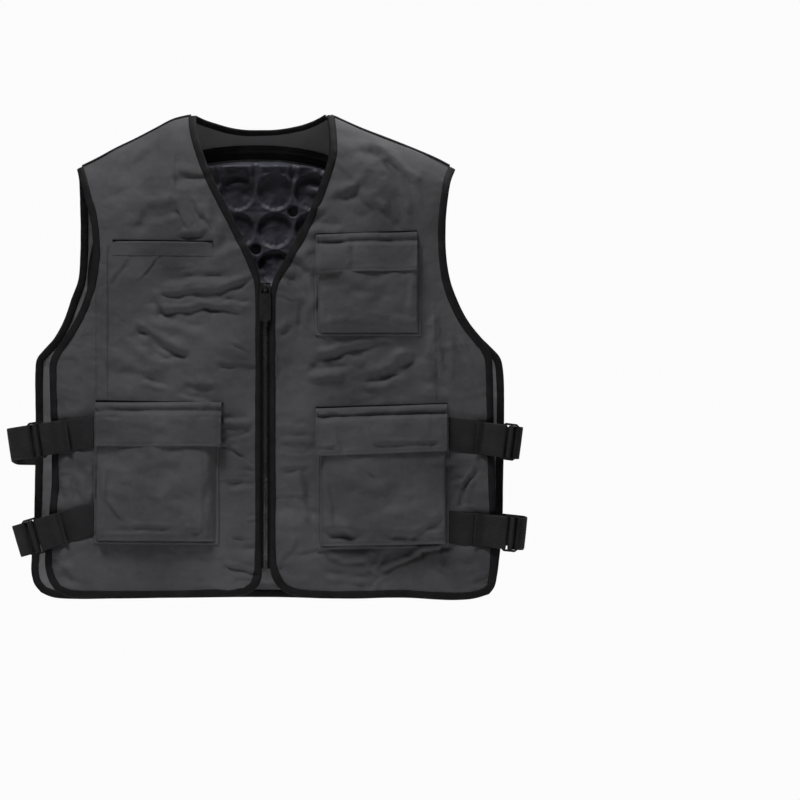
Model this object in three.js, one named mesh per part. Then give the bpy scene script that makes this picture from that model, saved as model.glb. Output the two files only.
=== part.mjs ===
// Sleeveless cooling vest: bound cloth panels, zip front, pockets, side straps and cooling packs inside.
import * as THREE from 'three';

// driving dimensions, mm (x to the side, y to the back, z up from the shoulder points)
const CLOTH = 2.0;
const GAP = 0.4;
const RING = 9.5;
const BINDING = { width: 7.6, narrow: 5.0, cloth: 0.9 };
const HALF_WIDTH = 288;
const ROLL = 38;
const EDGE_DEPTH = 26;
const WEBBING = { width: 39, thick: 1.5 };
// the buckle's slot passes the webbing with some play, inside its rails
const BUCKLE = { play: 0.7, rail: 2.6, thick: 3.2 };
const PACK = { pitch: 47.5, dish: 21.6, thick: 9, deep: 5, hole: 6.5 };
const FRONT_PACK = {
  pitch: 42.5,
  left: { x: -192, top: -209, air: 2.0 },
  right: { x: 31, top: -215, air: 1.2 },
};
const FLAP_CLOTH = 1.8;
const POCKET_CLOTH = 1.6;
// pockets on the front and the flaps over them: sides, top, bottom, fullness and lean
const POCKETS = [
  { name: 'chest_pocket', on: 'right', left: 68, right: 191, top: -168, low: -272,
    deep: 12, lean: 0.005 },
  { name: 'lower_pocket_left', on: 'left', left: -205, right: -57.2, top: -374, low: -527,
    deep: 15, lean: 0 },
  { name: 'lower_pocket_right', on: 'right', left: 70.2, right: 225, top: -382, low: -533,
    deep: 15, lean: 0.01 },
];
const FLAPS = [
  { name: 'chest_pocket_flap', on: 'right', left: 65.7, right: 189.5, top: -152, low: -200,
    deep: 11.6, lean: 0.04 },
  { name: 'lower_pocket_flap_left', on: 'left', left: -206.5, right: -49.5, top: -357, low: -411, deep: 13.4,
    lean: 0.002 },
  { name: 'lower_pocket_flap_right', on: 'right', left: 65.4, right: 226.5, top: -364, low: -422, deep: 13.4,
    lean: 0.03 },
];
const WELT = { left: -185.8, right: -60.7, top: -158.8, low: -176, cloth: 1.4, lean: -0.016 };
const ZIP = { x: 3.5, top: -222, bottom: -548 };
const PULL = { width: 14, length: 41, thick: 1.8 };

// depth at the middle of the front and the back panel, by height
const MIDDLE_DEPTH = {
  front: [[-600, 60], [-400, 62], [-200, 66], [0, 58]],
  back: [[-600, 56], [-400, 54], [-200, 60], [0, 50]],
};
// height of the shoulder line over each x
const SHOULDER = [[-236, -66], [-211, -54], [-188, -41], [-163, -29], [-138, -16], [-117, -5],
  [-103, -1], [-88, 2], [74, 3], [87, -1], [96, -5], [121, -16], [154, -29], [186, -41], [214, -54],
  [237, -66]];
// outlines, columns x and z
const BACK_LEFT = [[-234.5, -66], [-233.4, -78], [-233.9, -102], [-234.5, -139], [-235.6, -170],
  [-238.3, -202], [-247, -227], [-255.6, -252.5], [-269, -278], [-280, -290.6], [-289.3, -303.3],
  [-291.1, -318.4], [-291.1, -379], [-291.7, -455], [-293.5, -518], [-296, -555.6], [-296, -571],
  [-292.3, -586], [-284.4, -596]];
const BACK_RIGHT = [[235.6, -66], [230.9, -77.5], [226.1, -101.5], [224.4, -132.4], [225.1, -170],
  [230.2, -202], [239, -227], [251.6, -252.5], [269.2, -275.4], [281.7, -288], [293, -301],
  [296.7, -316], [298, -379], [296.7, -455], [295.5, -518], [291.7, -555.6], [289.2, -574.6],
  [286.1, -589], [280, -598]];
const BACK_HEM = [[-284.4, -596], [-270.4, -602], [-243, -604.5], [-175, -604.5], [-87, -604.5],
  [2.3, -604.2], [104, -605.8], [168, -604], [238, -606], [263, -603.4], [280, -598]];
const BACK_SHOULDER_LEFT = [[-234.5, -66], [-211, -54.5], [-188, -42], [-163, -30], [-138, -17],
  [-117, -6], [-103, -2], [-88, 0.6]];
const BACK_NECK = [[-88, 0.6], [-77.4, -4], [-64, -8], [-45.6, -12.6], [-26.9, -15], [-6.8, -15.4],
  [10.8, -15], [29.8, -12.6], [48.8, -8.6], [65.4, -2.6], [74.3, 1.8]];
const BACK_SHOULDER_RIGHT = [[74.3, 1.8], [86.9, -2], [95.6, -6], [120.6, -17], [154.4, -30],
  [185.6, -42.4], [214.4, -54.8], [235.6, -66]];
const LEFT_ARM_SIDE = [[-234, -66.5], [-227.4, -83], [-220, -106.5], [-213, -129.3], [-209, -157],
  [-208.6, -181.5], [-212.6, -206], [-220, -230.7], [-231, -255], [-245, -277.3], [-255.8, -292],
  [-262.9, -307], [-263.5, -329], [-261.6, -391], [-261, -452.6], [-266.2, -514.4], [-269.4, -551.5],
  [-268, -566.3], [-263.6, -578.6], [-256, -589]];
const LEFT_HEM = [[-256, -589], [-238.8, -595.6], [-201, -596.8], [-126, -595.4], [-58, -593.8],
  [-32.4, -593.4], [-20.2, -589.6]];
const LEFT_SHOULDER = [[-234, -66.5], [-211, -54.8], [-188, -42.3], [-163, -30.3], [-138, -17.3],
  [-117, -6.3], [-103, -2.5], [-87.8, -0.6]];
const LEFT_NECK_ZIP = [[-87.8, -0.6], [-86, -14], [-82, -31], [-65.3, -76.6], [-45.9, -115],
  [-27, -152.7], [-9, -190], [-4.2, -208.6], [-3.6, -232], [-3.6, -354], [-3.6, -525], [-3.8, -546],
  [-6.7, -562], [-12.2, -577], [-20.2, -589.6]];
const RIGHT_ARM_SIDE = [[235.5, -66.5], [230.2, -80], [225.6, -106.4], [222.7, -138], [222.6, -169],
  [227.2, -206], [235.2, -230.5], [247.6, -255], [264.4, -277], [274.4, -289.5], [280, -302],
  [281.3, -319], [282.5, -378.5], [284.4, -453], [286.3, -502], [286.9, -552], [285, -570.3],
  [282, -585], [276, -593]];
const RIGHT_HEM = [[33.6, -590.6], [45.8, -593.6], [107, -596], [168, -595.2], [236, -599.4],
  [261, -597.6], [276, -593]];
const RIGHT_SHOULDER = [[78.2, 0.4], [86.9, -2.6], [95.6, -6.4], [120.6, -17.4], [154.4, -30.4],
  [185.6, -42.8], [214.4, -55.2], [235.5, -66.5]];
const RIGHT_NECK_ZIP = [[78.2, 0.4], [81.5, -24], [81.9, -50.8], [68, -99], [49.6, -143.3],
  [31, -177.7], [15.4, -206], [11.6, -222], [10.7, -238], [10.6, -354], [10.6, -525], [11.7, -546],
  [17, -563], [23.8, -577.5], [33.6, -590.6]];
// rows of the panel grids, as the distance down the arm edge
const ROWS = [0, 9.5, 26, 48, 78, 112, 146, 178, 206, 236, 262, 296, 340, 388, 436, 484, 530];
// folds: from, to, half width, height (outward positive)
const FOLDS = [
  { x0: 131, z0: -26, x1: 188, z1: -128, w: 16, h: -6 },
  { x0: 150, z0: -30, x1: 208, z1: -130, w: 14, h: 4 },
  { x0: -135, z0: -176, x1: -158, z1: -200, w: 16, h: -4 },
  { x0: -140, z0: -220, x1: -62, z1: -220, w: 14, h: -2.6 },
  { x0: -158, z0: -264, x1: -100, z1: -300, w: 18, h: -4 },
  { x0: 62, z0: -292, x1: 124, z1: -281, w: 15, h: -2.6 },
  { x0: 132, z0: -320, x1: 184, z1: -296, w: 18, h: 4 },
  { x0: 140, z0: -562, x1: 225, z1: -538, w: 18, h: -4 },
];

const group = new THREE.Group();
group.name = 'cooling_vest';
const LOOK = {
  cloth: [0x404042, 0.9], binding: [0x19191b, 0.8], webbing: [0x242426, 0.85], pack: [0x2a2a2e, 0.45],
  plastic: [0x101012, 0.4], tape: [0x121214, 0.85],
};

const lerp = (a, b, t) => a + (b - a) * t;
const along = (rows, x) => {
  if (x <= rows[0][0]) return rows[0][1];
  for (let i = 1; i < rows.length; i++) {
    const [a, b] = [rows[i - 1], rows[i]];
    if (x <= b[0]) return lerp(a[1], b[1], (x - a[0]) / (b[0] - a[0]));
  }
  return rows[rows.length - 1][1];
};
const fold = (x, z) => {
  let sum = 0;
  for (const f of FOLDS) {
    const [dx, dz] = [f.x1 - f.x0, f.z1 - f.z0];
    const t = Math.min(1, Math.max(0, ((x - f.x0) * dx + (z - f.z0) * dz) / (dx * dx + dz * dz)));
    const d = Math.hypot(x - f.x0 - t * dx, z - f.z0 - t * dz) / f.w;
    sum += f.h * Math.exp(-d * d);
  }
  return sum;
};
// y of the middle of the cloth; side is -1 for the front and 1 for the back
const clothY = (x, z, side) => {
  const drop = Math.max(0, along(SHOULDER, x) - z);
  const roll = 1 - Math.exp(-drop / ROLL);
  const middle = along(side < 0 ? MIDDLE_DEPTH.front : MIDDLE_DEPTH.back, z);
  const flat = 1 - Math.min(1.1, (x / HALF_WIDTH) ** 2);
  const extra = side < 0 ? fold(x, z) : 2.5 * Math.sin(x / 55) * Math.sin(z / 90) * Math.min(1, drop / 200);
  return side * (0.95 + roll * (EDGE_DEPTH + (middle - EDGE_DEPTH) * flat + extra));
};

// closed body from points and faces; faces are turned to agree and to look outward
const solid = (name, points, faces, look) => {
  const edges = new Map();
  const key = (a, b) => (a < b ? a * 1e6 + b : b * 1e6 + a);
  faces.forEach((f, n) => [0, 1, 2].forEach((k) => {
    const id = key(f[k], f[(k + 1) % 3]);
    if (!edges.has(id)) edges.set(id, []);
    edges.get(id).push(n);
  }));
  const done = new Set([0]);
  const queue = [0];
  while (queue.length) {
    const n = queue.pop();
    const f = faces[n];
    for (let k = 0; k < 3; k++) {
      const [a, b] = [f[k], f[(k + 1) % 3]];
      for (const m of edges.get(key(a, b))) {
        if (done.has(m)) continue;
        const g = faces[m];
        const same = [0, 1, 2].some((q) => g[q] === a && g[(q + 1) % 3] === b);
        if (same) g.reverse();
        done.add(m);
        queue.push(m);
      }
    }
  }
  let volume = 0;
  for (const [a, b, c] of faces) {
    volume += points[a].dot(new THREE.Vector3().crossVectors(points[b], points[c]));
  }
  if (volume < 0) faces.forEach((f) => f.reverse());
  const geometry = new THREE.BufferGeometry();
  const flat = points.flatMap((p) => [p.x, p.y, p.z]);
  geometry.setAttribute('position', new THREE.Float32BufferAttribute(flat, 3));
  geometry.setIndex(faces.flat());
  geometry.computeVertexNormals();
  const [color, roughness] = LOOK[look];
  const material = new THREE.MeshStandardMaterial({ color, roughness, flatShading: true });
  const mesh = new THREE.Mesh(geometry, material);
  mesh.name = name;
  group.add(mesh);
  return mesh;
};
// sheet between two grids of points
const slab = (name, outer, inner, look) => {
  const [rows, cols] = [outer.length, outer[0].length];
  const at = (layer, i, j) => (layer * rows + i) * cols + j;
  const faces = [];
  const quad = (a, b, c, d) => faces.push([a, b, c], [a, c, d]);
  for (let i = 0; i < rows - 1; i++) {
    for (let j = 0; j < cols - 1; j++) {
      quad(at(0, i, j), at(0, i, j + 1), at(0, i + 1, j + 1), at(0, i + 1, j));
      quad(at(1, i, j), at(1, i + 1, j), at(1, i + 1, j + 1), at(1, i, j + 1));
    }
  }
  for (let j = 0; j < cols - 1; j++) {
    quad(at(0, 0, j + 1), at(0, 0, j), at(1, 0, j), at(1, 0, j + 1));
    quad(at(0, rows - 1, j), at(0, rows - 1, j + 1), at(1, rows - 1, j + 1), at(1, rows - 1, j));
  }
  for (let i = 0; i < rows - 1; i++) {
    quad(at(0, i, 0), at(0, i + 1, 0), at(1, i + 1, 0), at(1, i, 0));
    quad(at(0, i + 1, cols - 1), at(0, i, cols - 1), at(1, i, cols - 1), at(1, i + 1, cols - 1));
  }
  return solid(name, [...outer.flat(), ...inner.flat()], faces, look);
};
// flat outline with holes between a near and a far face; dishes are blind hollows in the near face
const plate = (name, contour, holes, near, far, look, dishes = []) => {
  // a hair of unevenness keeps points in line from being skipped
  const v2 = (ring) => ring.map(([p, q]) => new THREE.Vector2(p + 0.004 * Math.sin(7 * p + 13 * q),
    q + 0.004 * Math.sin(11 * p - 5 * q)));
  const through = [contour, ...holes];
  const [points, faces] = [[], []];
  const nearAt = [];
  [...through, ...dishes.map((d) => d.rim)].forEach((ring) => {
    nearAt.push(points.length);
    ring.forEach(([p, q]) => points.push(near(p, q)));
  });
  const farAt = through.map((ring) => {
    const first = points.length;
    ring.forEach(([p, q]) => points.push(far(p, q)));
    return first;
  });
  const flatIndex = (rings, starts) => rings.flatMap((ring, n) => ring.map((_, k) => starts[n] + k));
  const nearRings = [...through, ...dishes.map((d) => d.rim)];
  const nearIds = flatIndex(nearRings, nearAt);
  const farIds = flatIndex(through, farAt);
  THREE.ShapeUtils.triangulateShape(v2(contour), nearRings.slice(1).map(v2))
    .forEach((t) => faces.push(t.map((k) => nearIds[k])));
  THREE.ShapeUtils.triangulateShape(v2(contour), holes.map(v2))
    .forEach((t) => faces.push(t.map((k) => farIds[k])));
  through.forEach((ring, n) => ring.forEach((_, k) => {
    const m = (k + 1) % ring.length;
    faces.push([nearAt[n] + k, nearAt[n] + m, farAt[n] + m], [nearAt[n] + k, farAt[n] + m, farAt[n] + k]);
  }));
  dishes.forEach((dish, d) => {
    const rim = nearAt[through.length + d];
    const low = points.length;
    dish.floor.forEach((p) => points.push(p));
    const count = dish.rim.length;
    for (let k = 0; k < count; k++) {
      const m = (k + 1) % count;
      faces.push([rim + k, rim + m, low + m], [rim + k, low + m, low + k]);
      if (k > 1) faces.push([low, low + k - 1, low + k]);
    }
  });
  return solid(name, points, faces, look);
};

const V = (x, y, z) => new THREE.Vector3(x, y, z);
const spline = (rows) => new THREE.CatmullRomCurve3(rows.map(([x, z]) => V(x, 0, z)), false, 'centripetal');

// cloth panel on a curved grid; returns its grids and finders for the two faces
const panel = (name, side, left, right, top, bottom, uSteps, rowList) => {
  const [cl, cr, cb] = [spline(left), spline(right), spline(bottom)];
  const tops = top.map((t) => ({ curve: spline(t.rows), from: t.from, to: t.to }));
  const topAt = (u) => {
    const t = tops.find((q) => u <= q.to + 1e-9);
    return t.curve.getPointAt(Math.min(1, Math.max(0, (u - t.from) / (t.to - t.from))));
  };
  const [c00, c10] = [topAt(0), topAt(1)];
  const [c01, c11] = [cb.getPointAt(0), cb.getPointAt(1)];
  const P = (u, v) => {
    const a = topAt(u).multiplyScalar(1 - v).addScaledVector(cb.getPointAt(u), v)
      .addScaledVector(cl.getPointAt(v), 1 - u).addScaledVector(cr.getPointAt(v), u);
    return a.addScaledVector(c00, -(1 - u) * (1 - v)).addScaledVector(c10, -u * (1 - v))
      .addScaledVector(c01, -(1 - u) * v).addScaledVector(c11, -u * v);
  };
  const long = (side < 0 && Math.abs(left[0][0]) < 100 ? cr : cl).getLength();
  const vs = [...rowList.map((d) => d / long), 1];
  const span = (a, b, t) => Math.abs(V().subVectors(b, a).cross(t).length()) / t.length();
  const e = 0.004;
  const ringU = (v, end) => {
    const [a, b] = end ? [P(1 - e, v), P(1, v)] : [P(0, v), P(e, v)];
    const curve = end ? cr : cl;
    const w = Math.min(1 - e, Math.max(e, v));
    return (RING * e) / span(a, b, V().subVectors(curve.getPointAt(w + e), curve.getPointAt(w - e)));
  };
  const grid = vs.map((v0, j) => uSteps.map((u0, i) => {
    let [u, v] = [u0, v0];
    const w = Math.min(1, Math.max(0, v0));
    const [ul, ur] = [ringU(w, false), ringU(w, true)];
    if (i === 1) u = ul;
    if (i === uSteps.length - 2) u = 1 - ur;
    if (i > 1 && i < uSteps.length - 2) u = Math.min(1 - 1.7 * ur, Math.max(1.7 * ul, u0));
    if (j === vs.length - 2) {
      const q = Math.min(1 - e, Math.max(e, u));
      const t = V().subVectors(cb.getPointAt(q + e), cb.getPointAt(q - e));
      v = 1 - (RING * e) / span(P(u, 1 - e), P(u, 1), t);
    }
    const p = P(u, v);
    return V(p.x, clothY(p.x, p.z, side), p.z);
  }));
  const normals = grid.map((row, j) => row.map((_, i) => {
    const du = V().subVectors(row[Math.min(i + 1, row.length - 1)], row[Math.max(i - 1, 0)]);
    const dv = V().subVectors(grid[Math.min(j + 1, grid.length - 1)][i], grid[Math.max(j - 1, 0)][i]);
    const n = du.cross(dv).normalize();
    return n.y * side < 0 ? n.negate() : n;
  }));
  const shift = (d) => grid.map((row, j) => row.map((p, i) => p.clone().addScaledVector(normals[j][i], d)));
  const [outer, inner] = [shift(CLOTH / 2), shift(-CLOTH / 2)];
  slab(name, outer, inner, 'cloth');
  const finder = (g) => {
    const tris = [];
    for (let j = 0; j < g.length - 1; j++) {
      for (let i = 0; i < g[0].length - 1; i++) {
        const [a, b, c, d] = [g[j][i], g[j][i + 1], g[j + 1][i + 1], g[j + 1][i]];
        tris.push([a, b, c], [a, c, d]);
      }
    }
    return (x, z) => {
      let best = [1e9, 0];
      for (const [a, b, c] of tris) {
        const area = (b.x - a.x) * (c.z - a.z) - (c.x - a.x) * (b.z - a.z);
        const s = ((x - a.x) * (c.z - a.z) - (c.x - a.x) * (z - a.z)) / area;
        const t = ((b.x - a.x) * (z - a.z) - (x - a.x) * (b.z - a.z)) / area;
        const miss = Math.max(-s, -t, s + t - 1);
        if (miss < best[0]) best = [miss, a.y + s * (b.y - a.y) + t * (c.y - a.y)];
        if (miss <= 0) break;
      }
      return best[1];
    };
  };
  return { side, outer, inner, normals, face: finder(outer), back: finder(inner) };
};

// binding folded over the edge through the listed grid cells [j, i, jRing, iRing]
const binding = (name, pan, cells, widths, air = 0.55) => {
  const { cloth } = BINDING;
  const [near, far] = [[], []];
  cells.forEach(([j, i, jr, ir], k) => {
    const w = typeof widths === 'function' ? widths(pan.outer[j][i], k) : widths;
    const n = pan.normals[j][i];
    const [a, b] = [pan.outer[j][i], pan.outer[jr][ir]];
    const [c, d] = [pan.inner[j][i], pan.inner[jr][ir]];
    const inA = V().subVectors(b, a).multiplyScalar(1 / RING);
    const inC = V().subVectors(d, c).multiplyScalar(1 / RING);
    const p = (base, dir, s, lift) => base.clone().addScaledVector(dir, s).addScaledVector(n, lift);
    near.push([p(a, inA, w, air), p(a, inA, -air, air), p(c, inC, -air, -air), p(c, inC, w, -air)]);
    const [s, t] = [-air - cloth, air + cloth];
    far.push([p(a, inA, w, t), p(a, inA, s, t), p(c, inC, s, -t), p(c, inC, w, -t)]);
  });
  return slab(name, far, near, 'binding');
};

const steps = (n, marks = []) => {
  const out = [...Array(n + 1)].map((_, i) => i / n);
  marks.forEach((m) => {
    let best = 1;
    out.forEach((u, i) => { if (Math.abs(u - m) < Math.abs(out[best] - m)) best = i; });
    out[best] = m;
  });
  return out;
};
const [NECK_L, NECK_R] = [0.345, 0.62];
const backU = [0, 0.02, ...steps(14, [NECK_L, NECK_R]).slice(1, -1), 0.98, 1];
const frontU = [0, 0.04, 0.17, 0.33, 0.5, 0.67, 0.83, 0.96, 1];
const back = panel('back_panel', 1, BACK_LEFT, BACK_RIGHT, [
  { rows: BACK_SHOULDER_LEFT, from: 0, to: NECK_L }, { rows: BACK_NECK, from: NECK_L, to: NECK_R },
  { rows: BACK_SHOULDER_RIGHT, from: NECK_R, to: 1 }], BACK_HEM, backU, ROWS);
const frontLeft = panel('front_panel_left', -1, LEFT_ARM_SIDE, LEFT_NECK_ZIP,
  [{ rows: LEFT_SHOULDER, from: 0, to: 1 }], LEFT_HEM, frontU, ROWS);
const frontRight = panel('front_panel_right', -1, RIGHT_NECK_ZIP, RIGHT_ARM_SIDE,
  [{ rows: RIGHT_SHOULDER, from: 0, to: 1 }], RIGHT_HEM, frontU, ROWS);

// edge walks round the panels
const LAST = ROWS.length;
const walk = (cols, from) => {
  const end = cols - 1;
  const cells = [];
  for (let j = 0; j < LAST; j++) cells.push([j, 0, j, 1]);
  cells.push([LAST, 0, LAST - 1, 1]);
  for (let i = 1; i < end; i++) cells.push([LAST, i, LAST - 1, i]);
  cells.push([LAST, end, LAST - 1, end - 1]);
  for (let j = LAST - 1; j >= 0; j--) cells.push([j, end, j, end - 1]);
  return cells;
};
const zipSide = (p) => {
  const beside = Math.abs(p.x - ZIP.x) < 9 && p.z < -200 && p.z > -556;
  return beside ? BINDING.narrow : BINDING.width;
};
binding('back_edge_binding', back, walk(backU.length), BINDING.width);
binding('front_binding_left', frontLeft, walk(frontU.length), zipSide);
binding('front_binding_right', frontRight, walk(frontU.length), zipSide);
const [nl, nr] = [backU.indexOf(NECK_L), backU.indexOf(NECK_R)];
binding('back_neck_binding', back, backU.map((_, i) => [0, i, 1, i]).slice(nl, nr + 1), 5.2, 0.9);

// cord of cloth over each shoulder seam
const seam = (name, front, frontCols, backCols) => {
  const [near, far] = [[], []];
  frontCols.forEach((i) => {
    const f = front.outer[0][i];
    const low = V().subVectors(front.outer[1][i], f).normalize();
    const b = V(f.x, -f.y, f.z);
    const lowB = V(low.x, -low.y, low.z);
    const n = front.normals[0][i];
    const pick = (lift) => [
      f.clone().addScaledVector(low, 3.2).addScaledVector(n, lift), V(f.x, 0, f.z + 1.6 + 1.25 * lift),
      b.clone().addScaledVector(lowB, 3.2).add(V(0, -n.y * lift, n.z * lift)),
    ];
    near.push(pick(0.95));
    far.push(pick(1.7));
  });
  return slab(name, far, near, 'binding');
};
seam('shoulder_seam_left', frontLeft, [1, 2, 3, 4, 5, 6, 7]);
seam('shoulder_seam_right', frontRight, [1, 2, 3, 4, 5, 6, 7]);

// patch on the outside of a panel: columns and rows of [place, lift]
const patch = (name, pan, xs, zs, thick, look, lean = 0) => {
  const put = (down) => zs.map(([z, lz]) => xs.map(([x, lx]) => {
    const rz = z + lean * (x - xs[0][0]);
    const lift = GAP + 0.5 + lx * lz + thick * down;
    return V(x, pan.face(x, rz) + pan.side * lift, rz);
  }));
  return slab(name, put(1), put(0), look);
};
// bellows pockets: open at the top and against the panel
const FRONTS = { left: frontLeft, right: frontRight };
const pocket = ({ name, on, left, right, top, low, deep, lean }) => {
  const t = POCKET_CLOTH;
  const pan = FRONTS[on];
  const middle = (left + right) / 2;
  const xs = [left, left + 1.5, left + 22, middle, right - 22, right - 1.5, right];
  const fx = [0, 0.75, 1, 1, 1, 0.75, 0];
  const zs = [top, top - 25, lerp(top, low, 0.55), low + 24, low + 1.5, low];
  const fz = [0.55, 0.7, 0.9, 1, 0.8, 0];
  const put = (inner) => zs.map((z, j) => xs.map((x, i) => {
    const edge = fx[i] * fz[j] === 0;
    const px = inner ? lerp(middle, x, 1 - (2 * t) / (right - left)) : x;
    const pz = (inner && j > 3 ? z + t : z) + lean * (px - left);
    const lift = GAP + 0.8 + deep * fx[i] * fz[j] - (inner && !edge ? t : 0) + (edge ? 0 : t);
    return V(px, pan.face(px, pz) + pan.side * lift, pz);
  }));
  return slab(name, put(false), put(true), 'cloth');
};
POCKETS.forEach(pocket);
FLAPS.forEach(({ name, on, left, right, top, low, deep, lean }) => {
  const xs = [0, 0.06, 0.35, 0.65, 0.94, 1].map((t) => [lerp(left, right, t), 1]);
  xs[0][1] = 0.93;
  xs[5][1] = 0.93;
  const zs = [[top, 0], [top - 4, 3], [top - 9.5, 4.2], [top - 14, deep * 0.86], [low + 12, deep],
    [low, deep * 1.06]];
  patch(name, FRONTS[on], xs, zs, FLAP_CLOTH, 'cloth', lean);
});
patch('chest_welt', frontLeft, [0, 0.33, 0.67, 1].map((t) => [lerp(WELT.left, WELT.right, t), 1]),
  [[WELT.top, 0], [WELT.top - 2.2, 0.9], [WELT.low + 2, 0.9], [WELT.low, 0]],
  WELT.cloth, 'cloth', WELT.lean);

// zip: tapes, closed teeth, slider and pull
const zipRows = [...Array(10)].map((_, k) => lerp(ZIP.top, ZIP.bottom, k / 9));
const zipY = (z) => (frontLeft.face(-3.7, z) + frontRight.face(10.7, z)) / 2 + 1;
const strip = (name, a, b, y0, y1, look) => {
  const put = (y) => zipRows.map((z) => [a, (a + b) / 2, b].map((x) => V(ZIP.x + x, zipY(z) + y, z)));
  return slab(name, put(y0), put(y1), look);
};
strip('zip_tape_left', -5.2, -3.2, -0.6, 0.7, 'tape');
strip('zip_tape_right', 3.2, 5.2, -0.6, 0.7, 'tape');
strip('zip_teeth', -2.8, 2.8, -1.2, 1.2, 'plastic');
const zs = ZIP.top + 5;
const ys = zipY(zs);
const wide = (y, z) => {
  if (y < -3.5) return y < -4.5 ? 1.5 : 2.1;
  if (z > 4.1 && y > -2.7 && y < 2.7) return 1.9;
  return 5.8;
};
const sliderShape = [[-4.4, -5], [-2.8, -5], [-2.8, 4.2], [2.8, 4.2], [2.8, -5], [4.2, -5], [4.2, 6],
  [-4.4, 6], [-4.6, 4.4], [-8.4, 4], [-8.9, 2], [-8.9, -2], [-8.4, -4], [-4.6, -4.4]];
plate('zip_slider', sliderShape, [[[-7.5, -2.6], [-7.5, 2.6], [-4.6, 2.6], [-4.6, -2.6]]],
  (y, z) => V(ZIP.x + wide(y, z), ys + y, zs + z),
  (y, z) => V(ZIP.x - wide(y, z), ys + y, zs + z), 'plastic');
const pivotY = ys - 6.05;
const pullHalf = PULL.width / 2;
const pullShape = [[-pullHalf + 0.8, 0.9], [pullHalf - 0.8, 0.9], [pullHalf - 0.6, -6], [pullHalf, -12],
  [pullHalf, -PULL.length + 3], [pullHalf - 2, -PULL.length], [-pullHalf + 2, -PULL.length],
  [-pullHalf, -PULL.length + 3], [-pullHalf, -12], [-pullHalf + 0.6, -6]];
const pullY = (d) => (x, z) => V(ZIP.x + x, pivotY + d, zs + z);
plate('zip_pull', pullShape, [[[-4.7, -0.9], [4.7, -0.9], [4.7, -7.2], [-4.7, -7.2]]],
  pullY(-PULL.thick / 2), pullY(PULL.thick / 2), 'plastic');

// straps at the sides: place of the base end, its height, droop, inner bar and reach
const STRAPS = [
  { name: 'upper_left', pan: frontLeft, s: -1, base: 208.5, z: -393, droop: 0.15,
    step: 240, bar: 271, reach: 321 },
  { name: 'lower_left', pan: frontLeft, s: -1, base: 208.5, z: -500, droop: 0.3,
    step: 246, bar: 275, reach: 312 },
  { name: 'upper_right', pan: frontRight, s: 1, base: 229, z: -396, droop: 0.13,
    step: 262, bar: 295, reach: 320 },
  { name: 'lower_right', pan: frontRight, s: 1, base: 229, z: -511, droop: 0.1,
    step: 260, bar: 297, reach: 326 },
];
const ribbon = (name, path, place, look) => {
  const half = WEBBING.thick / 2;
  const put = (d) => path.map((p, k) => {
    const [a, b] = [path[Math.max(0, k - 1)], path[Math.min(path.length - 1, k + 1)]];
    const u = [p[0] - a[0], p[1] - a[1]];
    const w = [b[0] - p[0], b[1] - p[1]];
    const [lu, lw] = [Math.hypot(...u) || 1, Math.hypot(...w) || 1];
    let t = [u[0] / lu + w[0] / lw, u[1] / lu + w[1] / lw];
    const l = Math.hypot(...t) || 1;
    t = [t[0] / l, t[1] / l];
    const ref = lu > 1e-6 && k > 0 ? [u[0] / lu, u[1] / lu] : [w[0] / lw, w[1] / lw];
    const grow = d / Math.max(0.6, t[0] * ref[0] + t[1] * ref[1]);
    const [q, y] = [p[0] - t[1] * grow, p[1] + t[0] * grow];
    return [WEBBING.width / 2, -WEBBING.width / 2].map((h) => place(q, y, h));
  });
  return slab(name, put(half), put(-half), look);
};
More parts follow.
